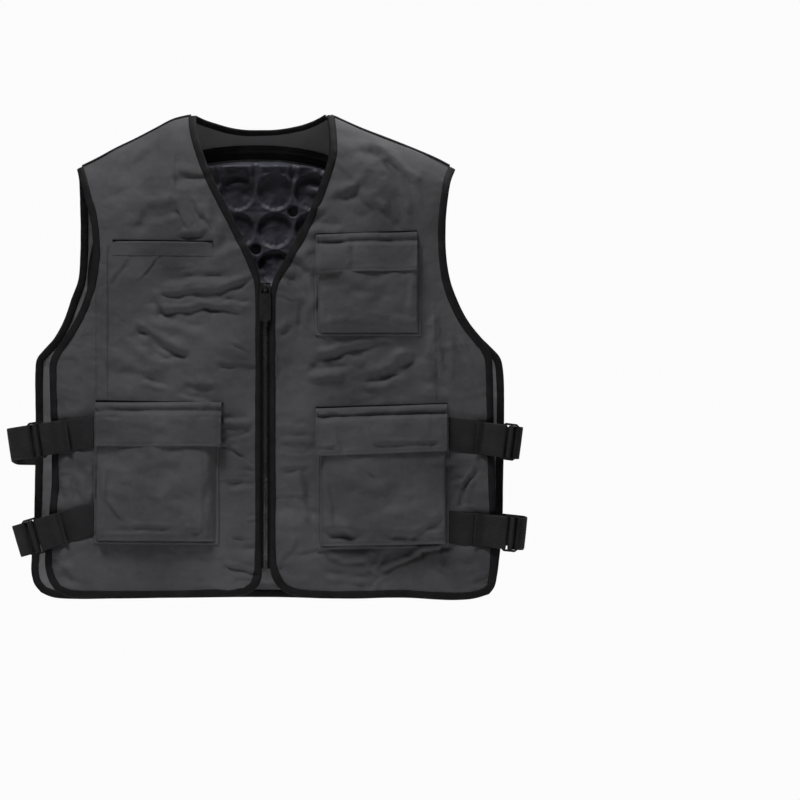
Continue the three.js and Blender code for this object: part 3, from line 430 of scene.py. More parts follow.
# relief of the front: rows of x0, z0, x1, z1, half width and the slope across the line,
# which looks down or right where it is positive
CREASES = [
    (-101, -77, -70, -78, 6, .6), (-101, -91, -68, -84, 7, -.3), (-109, -53, -107, -93, 4, .3),
    (-174, -60, -187, -95, 8, .25), (-161, -60, -145, -42, 12, .2), (-150, -69, -168, -109, 12, -.15),
    (-141, -117, -112, -113, 10, .25), (-156, -139, -141, -124, 9, .25), (-112, -128, -103, -128, 6, -.2),
    (-112, -106, -94, -140, 2.5, .5), (-103, -109, -85, -135, 4, -.3), (-88, -108, -70, -137, 4, .4),
    (-79, -128, -68, -150, 4, -.3), (-66, -118, -53, -157, 9, .35), (-97, -152, -75, -150, 5, .5),
    (-57, -175, -24, -164, 10, -.25), (-115, -210, -46, -207, 9, -.4), (-119, -225, -53, -221, 4.5, .8),
    (-53, -221, -15, -203, 4.5, .7), (-104, -232, -51, -232, 3, -.3), (-132, -228, -119, -245, 7, .4),
    (-119, -245, -68, -240, 4, .7), (-68, -240, -27, -247, 4, .8), (-46, -236, -18, -236, 4, -.6),
    (-132, -256, -73, -269, 9, -.35), (-150, -267, -94, -298, 5.5, .7), (-167, -280, -115, -309, 7, -.45),
    (-190, -309, -126, -324, 9, .25), (-146, -331, -119, -337, 4, -.5), (-93, -333, -64, -340, 6, .4),
    (-101, -348, -68, -355, 5, -.4), (-35, -285, -15, -296, 2.5, .5), (-29, -307, -18, -309, 3, -.4),
    (-53, -310, -11, -314, 4, .5), (-153, -208, -126, -179, 2.5, .6), (-185, -207, -167, -183, 4, .3),
    (-100, -190, -86, -190, 3, .3), (-48, -378, -23, -377, 5, -.5), (-48, -386, -19, -384, 5, .35),
    (-48, -402, -18, -396, 4, -.5), (-50, -408, -24, -421, 3.5, .5), (-48, -413.5, -10, -435, 2, -.6),
    (-27, -442, -11, -445, 3, -.3), (-40, -460, -11, -460, 5, -.3), (-20, -497, -8, -497, 2, -.4),
    (-20, -501, -8, -501, 2, .3), (-46, -535, -12, -545, 9, -.3), (-43, -556, -8, -566, 3.5, .7),
    (-36, -574, -14, -574, 2.5, .25), (-233, -420, -221, -446, 5, .3), (-245, -455, -243, -475, 6, -.4),
    (-229, -450, -225, -476, 7, -.4), (-209, -440, -208, -478, 5, .45), (-248, -443, -239, -444, 4, .4),
    (-250, -562, -222, -578, 7, .4), (-256, -548, -247, -550, 4, .35), (-242, -536, -242, -559, 2, .2),
    (136, -38, 189, -87, 7, .45), (189, -87, 196, -109, 6, .3), (97, -36, 158, -87, 16, -.12),
    (88, -62, 119, -91, 5, .2), (90, -106, 116, -94, 8, .5), (119, -102, 141, -128, 9, .3),
    (141, -115, 168, -140, 6, .3), (62, -126, 77, -126, 7, .4), (62, -142, 95, -144, 7, -.5),
    (101, -118, 112, -128, 6, -.25), (170, -102, 174, -135, 8, -.3), (40, -181, 62, -201, 10, .6),
    (62, -201, 66, -243, 6, .4), (26, -210, 46, -225, 8, -.5), (18, -227, 33, -230, 3, .4),
    (51, -241, 49, -267, 5, -.5), (20, -269, 30, -264, 6, .4), (44, -238, 44, -256, 4, .3),
    (73, -300, 112, -291, 8, .7), (112, -291, 152, -281, 6, .6), (64, -318, 105, -318, 7, -.6),
    (112, -304, 123, -302, 5, -.5), (134, -324, 180, -302, 7, .6), (202, -304, 215, -344, 8, .35),
    (130, -335, 167, -328, 6, -.4), (207, -252, 202, -296, 6, -.25), (216, -247, 220, -329, 4, .25),
    (229, -275, 229, -320, 5, -.3), (242, -280, 254, -311, 5, .5), (40, -311, 51, -348, 10, -.2),
    (192, -172, 194, -194, 5, .35), (18, -300, 18, -325, 4, .3), (19, -383, 50, -383, 8, -.25),
    (19, -396, 60, -396, 4, .2), (21, -409, 57, -410, 4, .3), (21, -419, 54, -419, 3, -.3),
    (30, -438, 51, -438, 5, .35), (45, -443, 51, -468, 6, .35), (51, -468, 56, -499, 6, .4),
    (56, -499, 67, -516, 5, .4), (19, -495, 48, -495, 12, -.2), (30, -546, 44, -528, 6, .4),
    (44, -543, 71, -536, 4, .4), (21, -560, 30, -540, 3.5, .4), (27, -558, 36, -556, 4, .3),
    (57, -546, 74, -545, 6, -.4), (24, -569, 50, -572, 6, -.4), (83, -568, 129, -571, 6, -.6),
    (79, -545, 94, -546, 5, .35), (97, -551, 125, -551, 5, .45), (125, -557, 140, -568, 4, .45),
    (85, -539, 137, -539, 3.5, -.4), (142, -560, 150, -539, 4, .45), (219, -534, 198, -539, 4, .8),
    (198, -539, 175, -552, 4, .9), (175, -552, 151, -562, 4.5, .7), (152, -575, 165, -572, 3, .3),
    (103, -578, 122, -578, 3, .3), (131, -588, 143, -574, 4, -.3), (218, -536, 220, -562, 3.5, .6),
    (220, -562, 232, -571, 3.5, .5), (221, -538, 238, -541, 5, -.35), (229, -552, 239, -552, 4, .3),
    (244, -560, 259, -562, 6, -.35), (259, -578, 277, -568, 3, .4), (258, -583, 279, -583, 2.5, -.35),
    (226, -430, 238, -431, 8, .3), (230, -453, 244, -453, 6, -.35), (261, -438, 239, -478, 3.5, .7),
    (256, -455, 247, -485, 4, -.5), (238, -485, 259, -484, 3, -.4),
]
# seams pressed into the front, rows like the creases
SEAMS = [
    (-191.5, -165, -191.5, -355, 2.6, .45), (-192, -205, -191, -290, 3.6, .4),
    (-198, -170, -198, -355, 2.6, -.35), (-206, -180, -206, -360, 2, .35), (-57, -453, -8, -453, 2, .6),
    (-36, -522.7, -8, -522.7, 2, .6), (13, -471.5, 62, -471.5, 2, .5), (211, -236, 213, -356, 2, .3)]
STITCHED_SEAMS = (0, 3, 4, 5, 6, 7)
BACK_CREASES = [
    (-190, -120, -60, -150, 12, .4), (170, -130, 60, -160, 12, -.4), (-230, -330, -90, -352, 11, .5),
    (230, -340, 80, -366, 11, .5), (-150, -480, 40, -500, 10, -.4), (60, -540, 220, -520, 11, .5),
    (-240, -560, -120, -540, 9, .5), (-60, -420, 120, -410, 10, .4), (-10, -60, 10, -300, 14, .2),
    (-215, -280, -120, -240, 8, .5), (205, -262, 110, -228, 8, .5), (-110, -88, -20, -76, 7, .4),
    (120, -92, 30, -74, 7, .4), (-262, -420, -190, -404, 7, .45), (262, -430, 180, -408, 7, .45),
    (-80, -572, 60, -566, 8, .5), (140, -586, 230, -574, 6, -.4), (-40, -200, 60, -214, 9, .3),
    (-160, -386, -60, -372, 7, -.4), (90, -300, 180, -280, 8, -.35), (-200, -520, -90, -508, 9, .35)]
# straps: name, side, where it leaves the pocket (from the middle), its height there, its droop,
# where its upper layer ends, the buckle's first bar, the loop's end, and the back layer's sag
STRAPS = [("upper_left", -1, 208.5, -393, 0.15, 240, 271, 321, 11),
          ("lower_left", -1, 208.5, -500, 0.3, 246, 275, 312, 2),
          ("upper_right", 1, 229, -396, 0.13, 262, 295, 320, 3),
          ("lower_right", 1, 229, -511, 0.1, 260, 297, 326, 0)]


def crease(x, z, rows, gain=1.0):
    """Slopes laid across lines, each k s exp(-(s / w)^2), s the distance across, fading at its ends."""
    h = np.zeros_like(x, dtype=float)
    uneven = grain(x / 15, z / 13, 19)
    for x0, z0, x1, z1, w, k in rows:
        along = np.array([x1 - x0, z1 - z0], float)
        length = np.hypot(*along)
        along /= length
        across = np.array([-along[1], along[0]])
        steep = abs(along[0]) < 0.35 * abs(along[1])
        if (across[0] > 0) if steep else (across[1] < 0):
            across = -across
        t = (x - x0) * along[0] + (z - z0) * along[1]
        s = (x - x0) * across[0] + (z - z0) * across[1]
        w = w * (1 + 0.3 * uneven)
        over = np.maximum(0, np.maximum(-t, t - length) + 0.7 * w) / (1.3 * w)
        h += gain * (1 + 0.4 * uneven) * k * s * np.exp(-((s / w) ** 2) - over**2)
    return h


dense = curve(SHOULDER)(np.linspace(0, 1, 400))
ZS = np.linspace(-640, 40, 341)
SOFT = {k: np.convolve(np.pad(np.interp(ZS, *zip(*rows)), 20, mode="edge"), np.ones(41) / 41, "valid")
        for k, rows in MIDDLE.items()}


def height(x, z, side):
    """Relief of the cloth, outward, in mm."""
    wx = x + 2.6 * grain(x / 21, z / 21, 3) + 0.9 * grain(x / 7, z / 7, 4)
    wz = z + 2.6 * grain(x / 21, z / 21, 9) + 0.9 * grain(x / 7, z / 7, 10)
    h = 2.8 * layered(x / 110, z / 85, 21 if side < 0 else 77, 2)
    h += 1.7 * layered(wx / 44, wz / 36, 51 if side < 0 else 87, 2)
    veins = 1 - np.abs(layered(wx / 64 + 0.6 * z / 90, wz / 30, 31 if side < 0 else 57, 3))
    h += 4.6 * unit(veins - 0.72) * (0.5 + 0.5 * grain(x / 110, z / 110, 5 + side))
    h += 0.75 * layered(wx / 17, wz / 12, 41, 3)
    if side > 0:
        return h + crease(wx, wz, BACK_CREASES, 1.5) + 2.2 * np.sin(x / 55) * np.sin(z / 90)
    h += crease(wx, wz, CREASES, CREASE_GAIN) + crease(x, z, SEAMS, 1.3)
    for _, s, base, zb, droop, *_ in STRAPS:
        # pressed in under the strap, swollen beside it
        q = s * x - base
        d = np.abs(z - zb + droop * q)
        h += unit((q + 6) / 14) * (-2.4 / (1 + (d / 21) ** 8) + 1.5 * bell(d - 29, 8))
    return h


def surf(x, z, side):
    """y of the middle of the cloth."""
    x, z = np.asarray(x, float), np.asarray(z, float)
    drop = np.maximum(0, np.interp(x, dense[:, 0], dense[:, 1]) - z)
    roll = 1 - np.exp(-drop / ROLL)
    flat = 1 - np.minimum(1.1, (x / HALF_WIDTH) ** 2)
    shape = EDGE_DEPTH + (np.interp(z, ZS, SOFT[side]) - EDGE_DEPTH) * flat
    return side * (SEAT + roll * shape + np.minimum(1, drop / CALM_TOP) * height(x, z, side))


def lay(x, z, side, lift):
    """Points at a height over the outside of the cloth (negative: over its inside)."""
    return xyz(x, surf(x, z, side) + side * (lift + np.sign(lift) * THICK / 2), z)


# panels and bindings
def panel(name, side, left, right, tops, bottom, nu, nv):
    u, v = np.linspace(0, 1, nu + 1), np.linspace(0, 1, nv + 1)
    L, R, B = curve(left)(v), curve(right)(v), curve(bottom)(u)
    T = np.zeros((nu + 1, 2))
    for rows, a, b in tops:
        inside = (u >= a - 1e-9) & (u <= b + 1e-9)
        T[inside] = curve(rows)((u[inside] - a) / (b - a))
    uu, vv = u[None, :, None], v[:, None, None]
    P = (1 - vv) * T[None] + vv * B[None] + (1 - uu) * L[:, None] + uu * R[:, None]
    P -= (1 - uu) * (1 - vv) * T[0] + uu * (1 - vv) * T[-1] + (1 - uu) * vv * B[0] + uu * vv * B[-1]
    mid = xyz(P[..., 0], surf(P[..., 0], P[..., 1], side), P[..., 1])
    n = np.cross(np.gradient(mid, axis=1), np.gradient(mid, axis=0))
    n /= np.linalg.norm(n, axis=-1, keepdims=True)
    n *= np.sign(n[..., 1:2]) * side
    o = walled(name + "_cloth", mid + n * THICK / 2, mid - n * THICK / 2, [CLOTH, LINING_PAINTED_PALER],
               node=name, slot="panel_cloth")
    return {"side": side, "mid": mid, "normal": n, "piece": o}


# where the neck starts and ends along the back's top, as shares of its width
NECK = (0.345, 0.62)
back = panel("back_panel", 1, BACK_LEFT, BACK_RIGHT,
             [(BACK_SHOULDER_LEFT, 0, NECK[0]), (BACK_NECK, *NECK), (BACK_SHOULDER_RIGHT, NECK[1], 1)],
             BACK_HEM, 200, 210)
front_left = panel("front_panel_left", -1, LEFT_ARM_SIDE, LEFT_NECK_ZIP,
                   [(LEFT_SHOULDER, 0, 1)], LEFT_HEM, 140, 300)
front_right = panel("front_panel_right", -1, RIGHT_NECK_ZIP, RIGHT_ARM_SIDE,
                    [(RIGHT_SHOULDER, 0, 1)], RIGHT_HEM, 140, 300)


def edge_line(pan, part):
    g, n = pan["mid"], pan["normal"]
    if part == "round":
        e = np.concatenate([g[:, 0], g[-1, 1:-1], g[::-1, -1]])
        m = np.concatenate([n[:, 0], n[-1, 1:-1], n[::-1, -1]])
    else:
        a, b = [round(q * (g.shape[1] - 1)) for q in part]
        e, m = g[0, a:b + 1], n[0, a:b + 1]
    s = run(e)
    k = np.linspace(0, s[-1], int(s[-1] / 3.0))
    return read(e, s, k), read(m, s, k), k


def binding(name, pan, part, width, seed):
    e, n, s = edge_line(pan, part)
    side = pan["side"]
    inward = np.cross(heading(e), n)
    probe = len(e) // 2
    if np.dot(inward[probe], pan["mid"].reshape(-1, 3).mean(0) - e[probe]) < 0:
        inward = -inward
    wide = np.array([width(p) for p in e]) + 0.4 * grain(s / 23, s * 0 + 0.5, seed)
    puff = 1 + 0.14 * grain(s / 9, s * 0 + 2.5, seed)
    half = [(1.0, 0.9), (1.0, 1.75), (0.86, 2.2), (0.5, 2.35), (0.1, 2.25), (-0.12, 1.7), (-0.19, 0.7)]
    rings = []
    for a, h in half + [(a, -h) for a, h in half[::-1]]:
        reach = (wide if a > 0 else BINDING_WRAP) * a
        p = e + inward * np.reshape(reach, (-1, 1))
        if a > 0:
            p[:, 1] = e[:, 1] + surf(p[:, 0], p[:, 2], side) - surf(e[:, 0], e[:, 2], side)
        rings.append(p + n * (h * puff if abs(h) > 2 else h * np.ones_like(puff))[:, None])
    tube(name + "_tape", rings, BIND, node=name, slot="edge_binding")


def side_width(p):
    # slimmer along the zip, gathered wider round the zip's lower corners
    near = unit((26 - abs(p[0] - ZIPX)) / 16) * unit((-190 - p[2]) / 34)
    slim = near * unit((p[2] + 566) / 34)
    corner = near * bell(p[2] + 574, 13)
    return BINDING_WIDTH - 2.6 * slim + 1.6 * corner


EDGED = {"back_edge_binding": back, "front_binding_left": front_left, "front_binding_right": front_right}
for k, (name, pan) in enumerate(EDGED.items()):
    binding(name, pan, "round", side_width, k + 1)
binding("back_neck_binding", back, NECK, lambda p: 5.4 + 1.6 * unit(-p[0] / 60), 4)


def seam(name, rows, x0, x1):
    line = curve(rows)(np.linspace(0, 1, 90))
    line = line[(line[:, 0] > x0) & (line[:, 0] < x1)]
    x, z = line[:, 0], line[:, 1] + 1.2
    rings = []
    for a in np.linspace(0, 2 * np.pi, 13)[:-1]:
        wob = 0.25 * grain(x / 9, x * 0 + a, 8)
        high = z + 0.5 + 2.0 * np.sin(a) - 0.9 * abs(np.cos(a))
        rings.append(xyz(x, (3.6 + wob) * np.cos(a), high))
    tube(name + "_piping", rings, BIND, node=name, slot="edge_binding")


seam("shoulder_seam_left", BACK_SHOULDER_LEFT, -231, -92)
seam("shoulder_seam_right", BACK_SHOULDER_RIGHT, 81, 231)

# stitches
STITCHES = {"grey": bmesh.new(), "black": bmesh.new()}


def stitch_row(points, normals, kind="grey", pitch=3.0, length=2.1, fat=0.27, lift=0.12):
    """Run of stitches, slim ellipsoids, along points lying on a surface."""
    p, n = np.asarray(points, float), np.asarray(normals, float)
    s = run(p)
    row = bmesh.new()
    for c in np.arange(pitch / 2, s[-1] - length / 2, pitch):
        a, b = V(read(p, s, c - length / 2)), V(read(p, s, c + length / 2))
        up = V(read(n, s, c))
        along = (b - a).normalized()
        over = up.cross(along)
        turn = Matrix((along, over.normalized(), along.cross(over).normalized())).transposed()
        place = Matrix.Translation(((a + b) / 2 + up * lift) * MM) @ turn.to_4x4()
        size = Matrix.Diagonal((length / 2 * MM, fat * MM, fat * MM, 1))
        bmesh.ops.create_icosphere(row, subdivisions=1, radius=1, matrix=place @ size)
    held = bpy.data.meshes.new("row")
    row.to_mesh(held)
    row.free()
    STITCHES[kind].from_mesh(held)
    bpy.data.meshes.remove(held)


def on_front(x, z, lift=0.0):
    x, z = np.asarray(x, float), np.asarray(z, float)
    p = lay(x, z, -1, lift + 1e-6)
    e = 0.8
    gx = (surf(x + e, z, -1) - surf(x - e, z, -1)) / (2 * e)
    gz = (surf(x, z + e, -1) - surf(x, z - e, -1)) / (2 * e)
    n = xyz(gx, -np.ones_like(x), gz)
    return p, n / np.linalg.norm(n, axis=-1, keepdims=True)


def stitch_line(x0, z0, x1, z1, at=on_front, kind="grey", count=90):
    """Stitches on a straight line; at gives its points and normals."""
    q = np.linspace(0, 1, count)
    stitch_row(*at(x0 + (x1 - x0) * q, z0 + (z1 - z0) * q), kind)


for k in STITCHED_SEAMS:
    x0, z0, x1, z1 = SEAMS[k][:4]
    stitch_line(x0, z0, x1, z1, kind="black" if abs(z1 - z0) > 9 else "grey", count=60)


# pockets
def spread(a, b, fine, step):
    """Places from a to b, close together near both ends."""
    near = np.array(fine, float)
    count = max(2, int((b - a - 2 * near[-1]) / step))
    even = np.linspace(a + near[-1], b - near[-1], count + 1)[1:-1]
    return np.concatenate([a + near, even, b - near[::-1]])


def wall(e, gusset):
    """Share of the depth reached at a distance inside the edge, over a gusset so wide."""
    e = np.maximum(0, e)
    rise, crown = 0.84 * (e / gusset) ** 0.8, 0.84 + 0.16 * (1 - np.exp(-(e - gusset) / 5))
    return np.where(e < gusset, rise, crown)


def raised(x, z, over):
    """Points and normals at a height over the front, for a row of stitches."""
    p, n = on_front(x, z, 0)
    return p + np.array([0, -1.0, 0]) * np.reshape(over, (-1, 1)), n


def pocket(name, x0, x1, top, low, deep, lean, seed, gussets, sag, rows=()):
    t, rim, stitch = 1.6, 4.0, 2.2
    fine = [0, 0.5, 2] + [rim + k for k in (-0.6, 0, 0.7, 1.4, 2.4, 4, 6, 8, 10, 12)]
    xs = spread(x0 - rim, x1 + rim, fine, 2.2)
    zs = spread(low - rim, top, fine, 2.2)[::-1]

    def shape(X, Z):
        """Height of the pocket's cloth over the panel, its wrinkles damped where the cloth moves less
        freely.
        """
        frac = unit((Z - low) / (top - low))
        full = np.interp(frac, [0, 0.15, 0.45, 0.75, 1], sag)
        left, right, under = [wall(e, g) for e, g in zip((X - x0, x1 - X, Z - low), gussets)]
        soft = unit(np.minimum(np.minimum(X - x0, x1 - X), Z - low) / 10)
        calm = soft * np.clip((1 - frac) / 0.35, 0.2, 1)
        wx = X + 1.6 * grain(X / 16, Z / 16, seed + 1)
        wz = Z + 1.6 * grain(X / 16, Z / 16, seed + 2)
        move = 2.9 * layered(X / 46, Z / 32, seed, 3) + 0.9 * layered(X / 13, Z / 10, seed + 5, 3)
        bag = 1.0 + deep * left * right * under * full
        return bag + move * calm + crease(wx, wz, rows, 1.3) * np.sqrt(soft)

    X, Z = np.meshgrid(xs, zs)
    lift = shape(X, Z)
    off = (X < x0) | (X > x1) | (Z < low)
    lift = np.where(off, 1.5 + 0.2 * grain(X / 9, Z / 9, seed), lift)
    lift[:, [0, -1]] = 0.25
    lift[-1] = 0.25
    outer = lay(X, Z + lean * (X - x0), -1, lift)
    cx = (x0 + x1) / 2
    k = 1 - 2 * t / (x1 - x0 + 2 * rim)
    XI = cx + (X - cx) * np.where(np.abs(X - cx) > (x1 - x0) / 2 - 0.1, 1 - 0.8 / (x1 - cx), k)
    frac = unit((Z - low) / (top - low))
    ZI = np.where(Z < low + 0.1, Z + 0.8, np.minimum(Z + t * (1 - frac), top))
    ZI[0] = Z[0]
    inner = lay(XI, ZI + lean * (XI - x0), -1, np.where(lift > 2.2, lift - t, 0.12))
    walled(name + "_cloth", outer, inner, POCKET, node=name, slot="pocket_cloth")

    def at(xq, zq):
        return raised(xq, zq + lean * (xq - x0), 1.35 + 0.2 * grain(xq / 9, zq / 9, seed))

    stitch_line(x0 - stitch, low - stitch, x1 + stitch, low - stitch, at, count=80)
    for xe in (x0 - stitch, x1 + stitch):
        stitch_line(xe, low - stitch, xe, top - 6 - stitch, at, count=80)


def flap(name, x0, x1, top, low, deep, lean, seed, rows=()):
    t, hem, total = 1.9, 3.2, top - low
    xs = spread(x0, x1, [0, 0.35, 0.9, 1.8, 3, 5, 8], 2.2)
    zs = spread(low, top, [0, 0.35, 0.9, 1.8, 3, 4.5, 6, 7.5], 1.6)[::-1]

    def shape(X, Z):
        d, e = top - Z, np.minimum(X - x0, x1 - X)
        base = np.interp(d, [0, 1.0, 3.5, 7, 9.5, 11.5, 15, 22, total - 8, total],
                         [0.5, 3.0, 5.4, 5.2, 3.6, 3.2, deep * 0.86 + 0.4,
                          deep * 0.98, deep * 1.02, deep * 1.05])
        move = 1.4 * layered(X / 34, Z / 20, seed, 3)
        move += 1.9 * grain(X / 27, Z * 0 + 0.5, seed + 3) * unit((d - 12) / total)
        move += 0.5 * grain(X / 8, Z / 30, seed + 7) * bell(d - 9, 5)
        soft = np.clip(e / 6, 0.25, 1) * unit(d / 6)
        return base * (1 - 0.10 * np.exp(-np.maximum(0, e) / 7)) + (move + crease(X, Z, rows, 1.3)) * soft

    X, Z = np.meshgrid(xs, zs)
    lift = shape(X, Z)
    # a turned edge: thin at the hem's fold, full 3 mm inside it, pressed along its stitches
    e = np.minimum(np.minimum(X - x0, x1 - X), Z - low)
    skin = t * (0.5 + 0.5 * np.sqrt(unit(e / 1.1))) - 0.7 * bell(e - hem, 0.9)
    RZ = Z + lean * (X - x0) + 0.6 * grain(X / 40, X * 0 + 1.5, seed + 9)
    walled(name + "_cloth", lay(X, RZ, -1, lift + skin), lay(X, RZ, -1, np.maximum(0.15, lift)),
           POCKET, node=name, slot="pocket_cloth")

    def at(xq, zq):
        return raised(xq, zq + lean * (xq - x0), shape(xq, zq) + t - 0.6)

    stitch_line(x0 + hem, low + hem, x1 - hem, low + hem, at)
    for xe in (x0 + hem, x1 - hem):
        stitch_line(xe, low + hem, xe, top - 12, at)
    stitch_line(x0 + 2, top - 10.4, x1 - 2, top - 10.4, at, "black")


pocket("chest_pocket", 68, 191, -168, -272, 12, 0.005, 61, (2, 2, 9), (0.72, 0.80, 0.88, 0.86, 0.7),
       [(72, -258, 100, -250, 7, -.35), (186, -258, 160, -250, 7, -.35), (110, -214, 150, -222, 8, .35),
        (74, -226, 84, -254, 5, .4), (180, -210, 176, -250, 5, -.3), (96, -206, 120, -240, 9, .25)])
pocket("lower_pocket_left", -205, -57.2, -374, -527, 15, 0, 63, (2, 11, 3), (0.92, 1.0, 0.94, 0.8, 0.62),
       [(-173, -509, -112, -509, 3, .5), (-195, -516, -120, -516, 3, -.5), (-195, -521, -95, -521, 2, .5),
        (-91, -514, -77, -514, 5, .6), (-196, -442, -196, -478, 2.5, -.4), (-190, -442, -191, -478, 3, .45),
        (-190, -479, -173, -499, 4, .7), (-66, -427, -66, -488, 3, -.4), (-73, -420, -73, -515, 3, .4),
        (-150, -440, -100, -428, 9, .3), (-128, -470, -90, -484, 8, -.25), (-170, -455, -140, -470, 7, .3)])
pocket("lower_pocket_right", 70.2, 225, -382, -533, 15, 0.01, 67, (4.5, 2, 3),
       (0.92, 1.0, 0.94, 0.82, 0.64),
       [(76, -513, 106, -515, 7, .75), (106, -515, 180, -518, 6, .35), (78, -525, 222, -526, 4, -.5),
        (219, -499, 183, -520, 5, .7), (204, -515, 219, -515, 5, -.4), (83, -461, 88, -505, 3, .5),
        (122, -439, 137, -449, 3, .6), (172, -433, 172, -447, 2.5, .4), (206, -436, 219, -436, 3, .5),
        (100, -460, 150, -470, 9, .25), (150, -490, 200, -478, 8, -.3)])
flap("chest_pocket_flap", 65.7, 189.5, -152, -200, 11.6, 0.04, 71,
     [(68, -163, 100, -163, 3, .6), (160, -164, 186, -165, 3, .6), (108, -166, 108, -192, 4, .4)])
flap("lower_pocket_flap_left", -206.5, -49.5, -357, -411, 13.4, 0.002, 73,
     [(-203, -371, -180, -371, 4, .7), (-180, -371, -75, -371, 3.5, .35), (-75, -371, -52, -371, 4, .7),
      (-160, -384, -120, -392, 7, .25), (-96, -380, -90, -405, 5, -.25)])
flap("lower_pocket_flap_right", 65.4, 226.5, -364, -422, 13.4, 0.03, 79,
     [(65, -375, 132, -375, 3, .6), (132, -374, 204, -374, 3, .3), (204, -375, 226, -375, 3, .6),
      (67, -412, 85, -412, 3, .7), (91, -398, 97, -416, 2.5, .6), (125, -390, 134, -415, 3, .45),
      (138, -410, 213, -410, 4, .6), (205, -380, 205, -415, 3, .4)])


def welt(name, x0, x1, top, low, lean):
    xs = spread(x0, x1, [0, 0.6, 1.5, 3, 6], 2.4)
    zs = spread(low, top, [0, 0.3, 0.8, 1.6, 2.6], 1.8)[::-1]
    X, Z = np.meshgrid(xs, zs)
    base = np.interp(top - Z, [0, 0.6, 2, 4, 11, 14, top - low], [1.3, 2.4, 2.8, 2.3, 1.5, 1.0, 0.35])
    edge = np.clip(np.minimum(X - x0, x1 - X) / 16, 0.05, 1) ** 0.7
    lift = 0.15 + base * edge + 0.4 * layered(X / 22, Z / 12, 83, 2) * edge
    RZ = Z + lean * (X - x0)
    walled(name + "_cloth", lay(X, RZ, -1, lift), lay(X, RZ, -1, 0.05 + 0 * lift), CLOTH,
           node=name, slot="pocket_cloth")
    stitch_line(x0 + 1, low + 1, x1 - 1, low + 1, lambda x, z: raised(x, z + lean * (x - x0), 0.55))


welt("chest_welt", -185.8, -60.7, -158.8, -176.5, -0.016)

# painted shadow: black strips along each pocket's mouth stand in for the shade in the slit over the welt
# and in the seam groove over each flap; from x, z, to x, z, width across
MOUTHS = [("chest_welt", -185.5, -157.6, -60.5, -160.4, 2.2),
          ("chest_pocket_flap", 65.5, -151.8, 189, -146.4, 2.2),
          ("lower_pocket_flap_left", -206, -355.2, -48, -358.2, 2.6),
          ("lower_pocket_flap_right", 65, -363.6, 226.5, -358.8, 2.6)]
for name, x0, z0, x1, z1, tall in MOUTHS:
    X, across = np.meshgrid(np.linspace(x0, x1, 70), np.linspace(0.5, -0.5, 6))
    Z = z0 + (z1 - z0) * (X - x0) / (x1 - x0) + tall * across
    puff = 1.0 + 0.9 * np.sqrt(unit(1 - (2 * across) ** 2)) + 0.15 * grain(X / 7, across, 15)
    walled(name + "_painted_shadow_strip", lay(X, Z, -1, puff), lay(X, Z, -1, 0.05 + 0 * puff), ZIP_TAPE_AND_SHADOW,
           slot="edge_binding")

# zip
def zip_y(z):
    return (surf(-3.9 + 0 * z, z, -1) + surf(10.9 + 0 * z, z, -1)) / 2


zz = np.linspace(ZTOP, ZLOW, 110)
for name, s in (("zip_tape_left", -1), ("zip_tape_right", 1)):
    cols = [2.2, 2.6, 3.4, 4.6, 5.6, 6.3]
    outer = np.stack([xyz(ZIPX + s * c + 0 * zz, zip_y(zz) - 0.5, zz) for c in cols], 1)
    walled(name + "_weave", outer, outer + np.array([0, 1.1, 0]), ZIP_TAPE_AND_SHADOW, node=name, slot="zip_tape")
# coil: slanted loops of nylon line, left and right by turns
coil = bmesh.new()
for k in range(int((ZTOP - ZLOW) / COIL_PITCH)):
    s = -1 if k % 2 else 1
    z = ZTOP - (k + 0.5) * COIL_PITCH
    place = Matrix.Translation(V((ZIPX + s * 1.0, float(zip_y(np.array([z]))[0]) - 0.35, z)) * MM)
    tilt = Matrix.Rotation(s * math.radians(-COIL_TILT), 4, "Y")
    size = Matrix.Diagonal([r * MM for r in LOOP] + [1])
    bmesh.ops.create_icosphere(coil, subdivisions=2, radius=1, matrix=place @ tilt @ size)
add_piece("zip_teeth_coil", coil, COIL, node="zip_teeth", slot="zip_coil")


def soften(node, width, mat):
    """The frame's own piece, its edges rounded."""
    o = CAD[node]
    o.data.materials.clear()
    o.data.materials.append(mat)
    m = o.modifiers.new("edges", "BEVEL")
    m.width = width * MM
    m.segments = 3
    m.limit_method = "ANGLE"
    m.angle_limit = math.radians(25)
    o.data.shade_flat()


soften("zip_slider", 0.45, METAL)
soften("zip_pull", 0.5, METAL)


# side straps
def ribbon(name, path, place, node, seed):
    """Webbing along a path of (distance from the middle, y); place(q, h, share) gives x and z."""
    p = np.asarray(path, float)
    c = curve(p)(np.linspace(0, 1, int(run(p)[-1] / 1.3)))
    d = heading(c)
    n = xyz(-d[:, 1], d[:, 0])
    far = run(c)
    half = [(-1, 0), (-0.985, 0.75), (-0.93, 1), (-0.5, 1), (0, 1), (0.5, 1), (0.93, 1), (0.985, 0.75)]
    rings = []
    for a, b in half + [(-a, -b) for a, b in half]:
        lift = b * BAND_THICK / 2 + 0.2 * grain(far / 16, far * 0 + a, seed)
        x, z = place(c[:, 0] + n[:, 0] * lift, a * BAND / 2, far / far[-1])
        rings.append(xyz(x, c[:, 1] + n[:, 1] * lift, z))
    tube(name, rings, WEB, node=node, slot="webbing")


